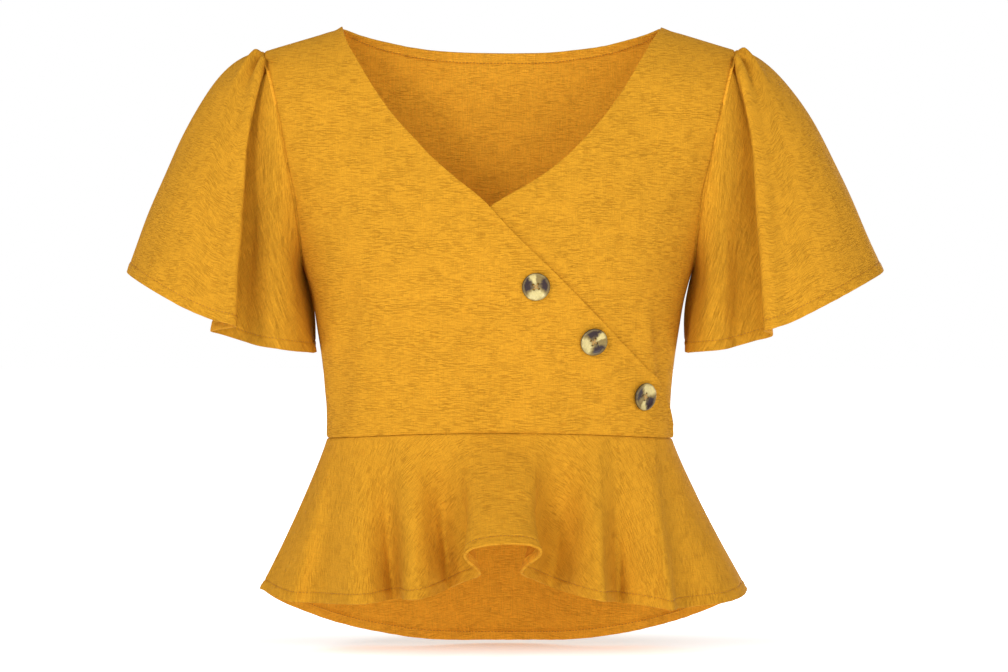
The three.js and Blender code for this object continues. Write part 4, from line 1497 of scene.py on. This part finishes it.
@dataclass
class Studio:
    """A white room: a pale floor just under the hem, one large soft light and its fill."""

    floor_height: float = -0.5535
    floor_half: float = 30.0
    # How strongly the floor glows to the camera right behind the hem, a painted shadow, and the spot and
    # reach of that shadow.
    painted_shadow_glow: float = 0.3
    shade_squeeze: tuple[float, float, float] = (0.36, 1.0, 0.0)
    shade_shift: tuple[float, float, float] = (0.0, -0.19, 0.0)
    shade_from: float = 0.04
    shade_to: float = 0.24
    floor_bounce: float = 0.52
    camera_at: tuple[float, float, float] = (0.0018, -3.5, -0.271)
    lens: float = 142.05
    key_at: tuple[float, float, float] = (-1.8, -3.2, 1.05)
    key_size: float = 0.9
    key_power: float = 60.0
    fill_at: tuple[float, float, float] = (1.3, -3.4, 0.6)
    fill_size: float = 2.2
    fill_power: float = 50.0
    back_at: tuple[float, float, float] = (1.2, 3.2, 0.3)
    back_size: float = 1.6
    back_power: float = 55.0
    room_light: float = 0.43
    aim: tuple[float, float, float] = (0.0, 0.0, -0.27)

    def build(self) -> None:
        """Build the floor, lights, room and camera."""
        self.lay_floor()
        self.add_light("key", self.key_at, self.key_size, self.key_power)
        self.add_light("fill", self.fill_at, self.fill_size, self.fill_power)
        self.add_light("back", self.back_at, self.back_size, self.back_power)
        self.paint_room()
        self.place_camera()
        bpy.context.scene.view_settings.view_transform = "Standard"

    def lay_floor(self) -> None:
        """Lay the floor, lit enough to melt into the room but for a painted shadow behind the hem, where it
        glows less to the camera.
        """
        plane = bmesh.new()
        bmesh.ops.create_grid(plane, x_segments=1, y_segments=1, size=self.floor_half)
        floor = new_piece("floor", plane, is_smooth=False)
        floor.data.transform(Matrix.Translation((0, 0, self.floor_height)))
        # Matt white paper: nothing shines in it, so the eye sees only the soft shade on it, real shade from
        # the lights under painted shadow where it glows less behind the hem.
        material, tree, shader = new_material("white_paper")
        shader.inputs["Base Color"].default_value = linear("#F4F4F4")
        shader.inputs["Roughness"].default_value = 1.0
        shader.inputs["Specular IOR Level"].default_value = 0.0
        place = add(tree, "TexCoord").outputs["Object"]
        spread = {0: place, 1: self.shade_squeeze, 2: self.shade_shift}
        from_hem = add(tree, "VectorMath", spread, operation="MULTIPLY_ADD").outputs[0]
        away = add(tree, "VectorMath", {0: from_hem}, operation="LENGTH").outputs["Value"]
        # Painted shadow: to the camera the floor glows less the nearer it lies to the hem.
        limits = {"Value": away, "From Min": self.shade_from, "From Max": self.shade_to}
        glow = add(tree, "MapRange", {**limits, "To Min": self.painted_shadow_glow}).outputs[0]
        seen = add(tree, "LightPath").outputs["Is Camera Ray"]
        strength = add(tree, "MapRange", {"Value": seen, "To Min": self.floor_bounce, "To Max": glow})
        tree.links.new(strength.outputs[0], shader.inputs["Emission Strength"])
        shader.inputs["Emission Color"].default_value = linear("#FFFFFF")
        floor.data.materials.append(material)

    def add_light(self, name: str, place: tuple[float, float, float], size: float, power: float) -> None:
        """Hang a square soft light that faces the blouse."""
        data = bpy.data.lights.new(name, "AREA")
        data.size = size
        data.energy = power
        light = bpy.data.objects.new(name, data)
        light.location = place
        towards = Vector(self.aim) - Vector(place)
        light.rotation_euler = towards.to_track_quat("-Z", "Y").to_euler()
        bpy.context.scene.collection.objects.link(light)

    def paint_room(self) -> None:
        """Make the room white to the eye and softer as a light."""
        world = bpy.data.worlds.new("room")
        world.use_nodes = True
        tree = world.node_tree
        shade = tree.nodes["Background"]
        path = add(tree, "LightPath").outputs["Is Camera Ray"]
        strength = add(tree, "MapRange", {"Value": path, "To Min": self.room_light, "To Max": 1.0})
        shade.inputs["Color"].default_value = (1, 1, 1, 1)
        tree.links.new(strength.outputs[0], shade.inputs["Strength"])
        bpy.context.scene.world = world

    def place_camera(self) -> None:
        """Put the camera level with the middle of the blouse, looking along +Y."""
        data = bpy.data.cameras.new("camera")
        data.lens = self.lens
        data.sensor_width = 36
        camera = bpy.data.objects.new("camera", data)
        camera.location = self.camera_at
        camera.rotation_euler = (math.pi / 2, 0, 0)
        bpy.context.scene.collection.objects.link(camera)
        bpy.context.scene.camera = camera


OVER_EDGE = (
    Across(-360, 147), Across(-343, 145.6), Across(-326, 141.5), Across(-316, 137.6),
    Across(-307, 130.5), Across(-283, 108.5), Across(-249, 76.5), Across(-215, 42.8),
    Across(-181, 7.2), Across(-155, -17.2), Across(-138, -38.2), Across(-121, -57.8),
    Across(-103, -74.4), Across(-86, -89.8), Across(-68, -103.2), Across(-32, -125.5),
    Across(-13, -135.8), Across(0, -140),
)
UNDER_EDGE = (
    Across(-360, -146), Across(-330, -141), Across(-300, -121), Across(-255, -84),
    Across(-205, -46), Across(-160, -8.5), Across(-138, 28.2), Across(-121, 51.2),
    Across(-103, 69.6), Across(-86, 84.8), Across(-68, 98.2), Across(-32, 120.4),
    Across(-13, 131.5), Across(0, 140),
)
SLEEVE_SPRING = (
    Spring(around=0, out=-9.5, side=0, up=-30),
    Spring(around=0.06, out=7, side=7, up=-13),
    Spring(around=0.12, out=11, side=12, up=-10),
    Spring(around=0.19, out=18, side=9, up=-14),
    Spring(around=0.26, out=20, side=5, up=-15),
    Spring(around=0.33, out=17, side=2, up=-18),
    Spring(around=0.375, out=18, side=2, up=-17),
    Spring(around=0.405, out=17, side=10, up=-15),
    Spring(around=0.43, out=13, side=34, up=-13),
    Spring(around=0.452, out=26, side=31, up=-9),
    Spring(around=0.475, out=37, side=24, up=-6),
    Spring(around=0.488, out=43, side=14, up=-4),
    Spring(around=0.5, out=50, side=0, up=-2),
)
CAP_PLEATS = (
    Pleat(around=0.43, width=0.011, height=5.5, reach=0.5),
    Pleat(around=0.412, width=0.009, height=-4, reach=0.5),
    Pleat(around=0.466, width=0.008, height=4.5, reach=0.4),
    Pleat(around=0.449, width=0.006, height=-4.5, reach=0.35),
    Pleat(around=0.545, width=0.011, height=3.5, reach=0.35),
    Pleat(around=0.58, width=0.012, height=3, reach=0.4),
)
RIGHT_SLEEVE_HEM = (
    SleeveTurn(around=0, out=164, front=0, up=-284),
    SleeveTurn(around=0.06, out=162, front=32, up=-285),
    SleeveTurn(around=0.12, out=174, front=54, up=-284.7),
    SleeveTurn(around=0.2, out=196, front=68, up=-281.8),
    SleeveTurn(around=0.26, out=213, front=58, up=-279),
    SleeveTurn(around=0.3, out=225, front=50, up=-275.4),
    SleeveTurn(around=0.34, out=240, front=52, up=-270.6),
    SleeveTurn(around=0.375, out=250, front=64, up=-267),
    SleeveTurn(around=0.405, out=241, front=84, up=-265.5),
    SleeveTurn(around=0.43, out=226.5, front=110, up=-262.4),
    SleeveTurn(around=0.442, out=235, front=114, up=-259.8),
    SleeveTurn(around=0.452, out=248, front=108, up=-256.6),
    SleeveTurn(around=0.462, out=267, front=103, up=-249.2),
    SleeveTurn(around=0.475, out=290, front=91, up=-237.6),
    SleeveTurn(around=0.487, out=313, front=66, up=-224.6),
    SleeveTurn(around=0.494, out=325, front=38, up=-217.5),
    SleeveTurn(around=0.5, out=330, front=0, up=-214),
    SleeveTurn(around=0.513, out=322, front=-40, up=-220),
    SleeveTurn(around=0.53, out=296, front=-70, up=-234),
    SleeveTurn(around=0.55, out=262, front=-92, up=-249),
    SleeveTurn(around=0.575, out=236, front=-86, up=-259),
    SleeveTurn(around=0.62, out=222, front=-70, up=-267),
    SleeveTurn(around=0.7, out=206, front=-74, up=-275),
    SleeveTurn(around=0.8, out=186, front=-62, up=-281),
    SleeveTurn(around=0.9, out=167, front=-36, up=-285),
    SleeveTurn(around=1, out=164, front=0, up=-284),
)
LEFT_SLEEVE_HEM = (
    SleeveTurn(around=0, out=162, front=0, up=-284),
    SleeveTurn(around=0.06, out=160, front=33, up=-285),
    SleeveTurn(around=0.12, out=171, front=56, up=-284.6),
    SleeveTurn(around=0.2, out=190, front=62, up=-282.9),
    SleeveTurn(around=0.28, out=205, front=50, up=-279.4),
    SleeveTurn(around=0.34, out=220, front=53, up=-275.1),
    SleeveTurn(around=0.375, out=232, front=62, up=-271.5),
    SleeveTurn(around=0.405, out=230, front=81, up=-268.6),
    SleeveTurn(around=0.43, out=224, front=106, up=-266),
    SleeveTurn(around=0.442, out=234, front=109, up=-263.7),
    SleeveTurn(around=0.452, out=246, front=102, up=-259.7),
    SleeveTurn(around=0.462, out=264, front=98, up=-251.2),
    SleeveTurn(around=0.475, out=291, front=86, up=-237.6),
    SleeveTurn(around=0.487, out=317, front=60, up=-224),
    SleeveTurn(around=0.494, out=330, front=34, up=-217),
    SleeveTurn(around=0.5, out=335, front=0, up=-213),
    SleeveTurn(around=0.513, out=325, front=-38, up=-219),
    SleeveTurn(around=0.53, out=300, front=-68, up=-232),
    SleeveTurn(around=0.555, out=266, front=-84, up=-248),
    SleeveTurn(around=0.6, out=240, front=-90, up=-258),
    SleeveTurn(around=0.65, out=222, front=-76, up=-267),
    SleeveTurn(around=0.74, out=202, front=-70, up=-277),
    SleeveTurn(around=0.84, out=178, front=-54, up=-283),
    SleeveTurn(around=0.92, out=164, front=-28, up=-285),
    SleeveTurn(around=1, out=162, front=0, up=-284),
)
PEPLUM_HEM = (
    HemTurn(angle=-90, across=-213, front=0, up=-493),
    HemTurn(angle=-78, across=-192, front=46, up=-499.5),
    HemTurn(angle=-72, across=-182, front=62, up=-500.8),
    HemTurn(angle=-64, across=-165, front=64, up=-501.2),
    HemTurn(angle=-55, across=-139, front=104, up=-499.8),
    HemTurn(angle=-49, across=-126, front=119, up=-499.2),
    HemTurn(angle=-44.5, across=-111, front=117, up=-498.4),
    HemTurn(angle=-41.5, across=-101, front=102, up=-497.4),
    HemTurn(angle=-38.5, across=-93, front=84, up=-496.8),
    HemTurn(angle=-35.5, across=-88, front=92, up=-495.8),
    HemTurn(angle=-30, across=-80, front=136, up=-494.2),
    HemTurn(angle=-27, across=-72, front=142, up=-493.4),
    HemTurn(angle=-23.5, across=-62, front=132, up=-492),
    HemTurn(angle=-20, across=-52, front=104, up=-490),
    HemTurn(angle=-16.5, across=-45, front=83, up=-487.3),
    HemTurn(angle=-14, across=-35, front=106, up=-481.4),
    HemTurn(angle=-11, across=-19, front=131, up=-473),
    HemTurn(angle=-8, across=-31, front=157, up=-458),
    HemTurn(angle=0, across=0.5, front=175, up=-444.5),
    HemTurn(angle=8, across=32.3, front=158, up=-456),
    HemTurn(angle=11, across=17.5, front=131, up=-471.5),
    HemTurn(angle=14, across=31, front=100, up=-480.6),
    HemTurn(angle=17.5, across=42, front=84, up=-486.4),
    HemTurn(angle=21, across=52, front=96, up=-489.4),
    HemTurn(angle=26, across=70, front=134, up=-492.4),
    HemTurn(angle=30, across=87, front=146, up=-495),
    HemTurn(angle=32.5, across=91, front=124, up=-496.5),
    HemTurn(angle=36, across=98, front=92, up=-498.8),
    HemTurn(angle=41, across=108, front=98, up=-499.8),
    HemTurn(angle=47, across=121, front=108, up=-500.8),
    HemTurn(angle=53, across=134, front=116, up=-502.4),
    HemTurn(angle=60, across=147, front=121, up=-504),
    HemTurn(angle=63, across=151, front=94, up=-504.4),
    HemTurn(angle=67, across=160, front=80, up=-503.8),
    HemTurn(angle=74, across=180, front=68, up=-502.4),
    HemTurn(angle=81, across=199, front=50, up=-500.5),
    HemTurn(angle=86, across=211, front=27, up=-497.5),
    HemTurn(angle=90, across=216, front=0, up=-494),
)


def main() -> None:
    """Build the studio and every piece of the blouse."""
    logging.basicConfig(level=logging.INFO, format="%(message)s")
    Studio().build()
    form = BodyForm()
    crepe = CrepeFinish()
    # The inside's base is painted lighter than the face: painted light that stands in for the light that
    # hardly reaches the inside.
    inside = CrepeFinish(name="slub_crepe_jersey_inside_painted_light", base="#E9A62E", streak_share=0.2, rib_share=0.16)
    # The hem thread is darker than the cloth: partly the thread's own colour, partly painted shade along
    # the stitched groove.
    thread = ThreadFinish("mustard_thread", "#A96C0C").material()
    shared = {
        "form": form,
        "face_material": crepe.material(),
        "inside_material": inside.material(),
        "thread_material": thread,
    }
    panels = [
        FrontPanel("front_over_cloth", "front_over", side=Side.RIGHT, edge=OVER_EDGE, laps_over=True,
                   hem_wall=1.7, edge_lift=1.5, seed=3, **shared),
        FrontPanel("front_under_cloth", "front_under", side=Side.LEFT, edge=UNDER_EDGE, hem_wall=1.8,
                   seed=4, **shared),
        BackPanel("back_cloth", "back", hem_wall=2.0, inside_shows=True, seed=5, **shared),
        Sleeve("sleeve_right_cloth", "sleeve_right", side=Side.RIGHT, hem=RIGHT_SLEEVE_HEM,
               laps_over=True, spring=SLEEVE_SPRING, pleats=CAP_PLEATS, is_tube=True, seed=6, **shared),
        Sleeve("sleeve_left_cloth", "sleeve_left", side=Side.LEFT, hem=LEFT_SLEEVE_HEM,
               spring=SLEEVE_SPRING, pleats=CAP_PLEATS, is_tube=True, seed=7, **shared),
        FrontPeplum("peplum_front_cloth", "peplum_front", hem=PEPLUM_HEM, seed=8, **shared),
        BackPeplum("peplum_back_cloth", "peplum_back", first_angle=90, last_angle=270, lift=0.2,
                   inside_shows=True, seed=9, **shared),
    ]
    for panel in panels:
        panel.build()
    Buttons(form, HornFinish(), ThreadFinish("button_thread", "#B08A4A").material()).build()


if __name__ == "__main__":
    main()
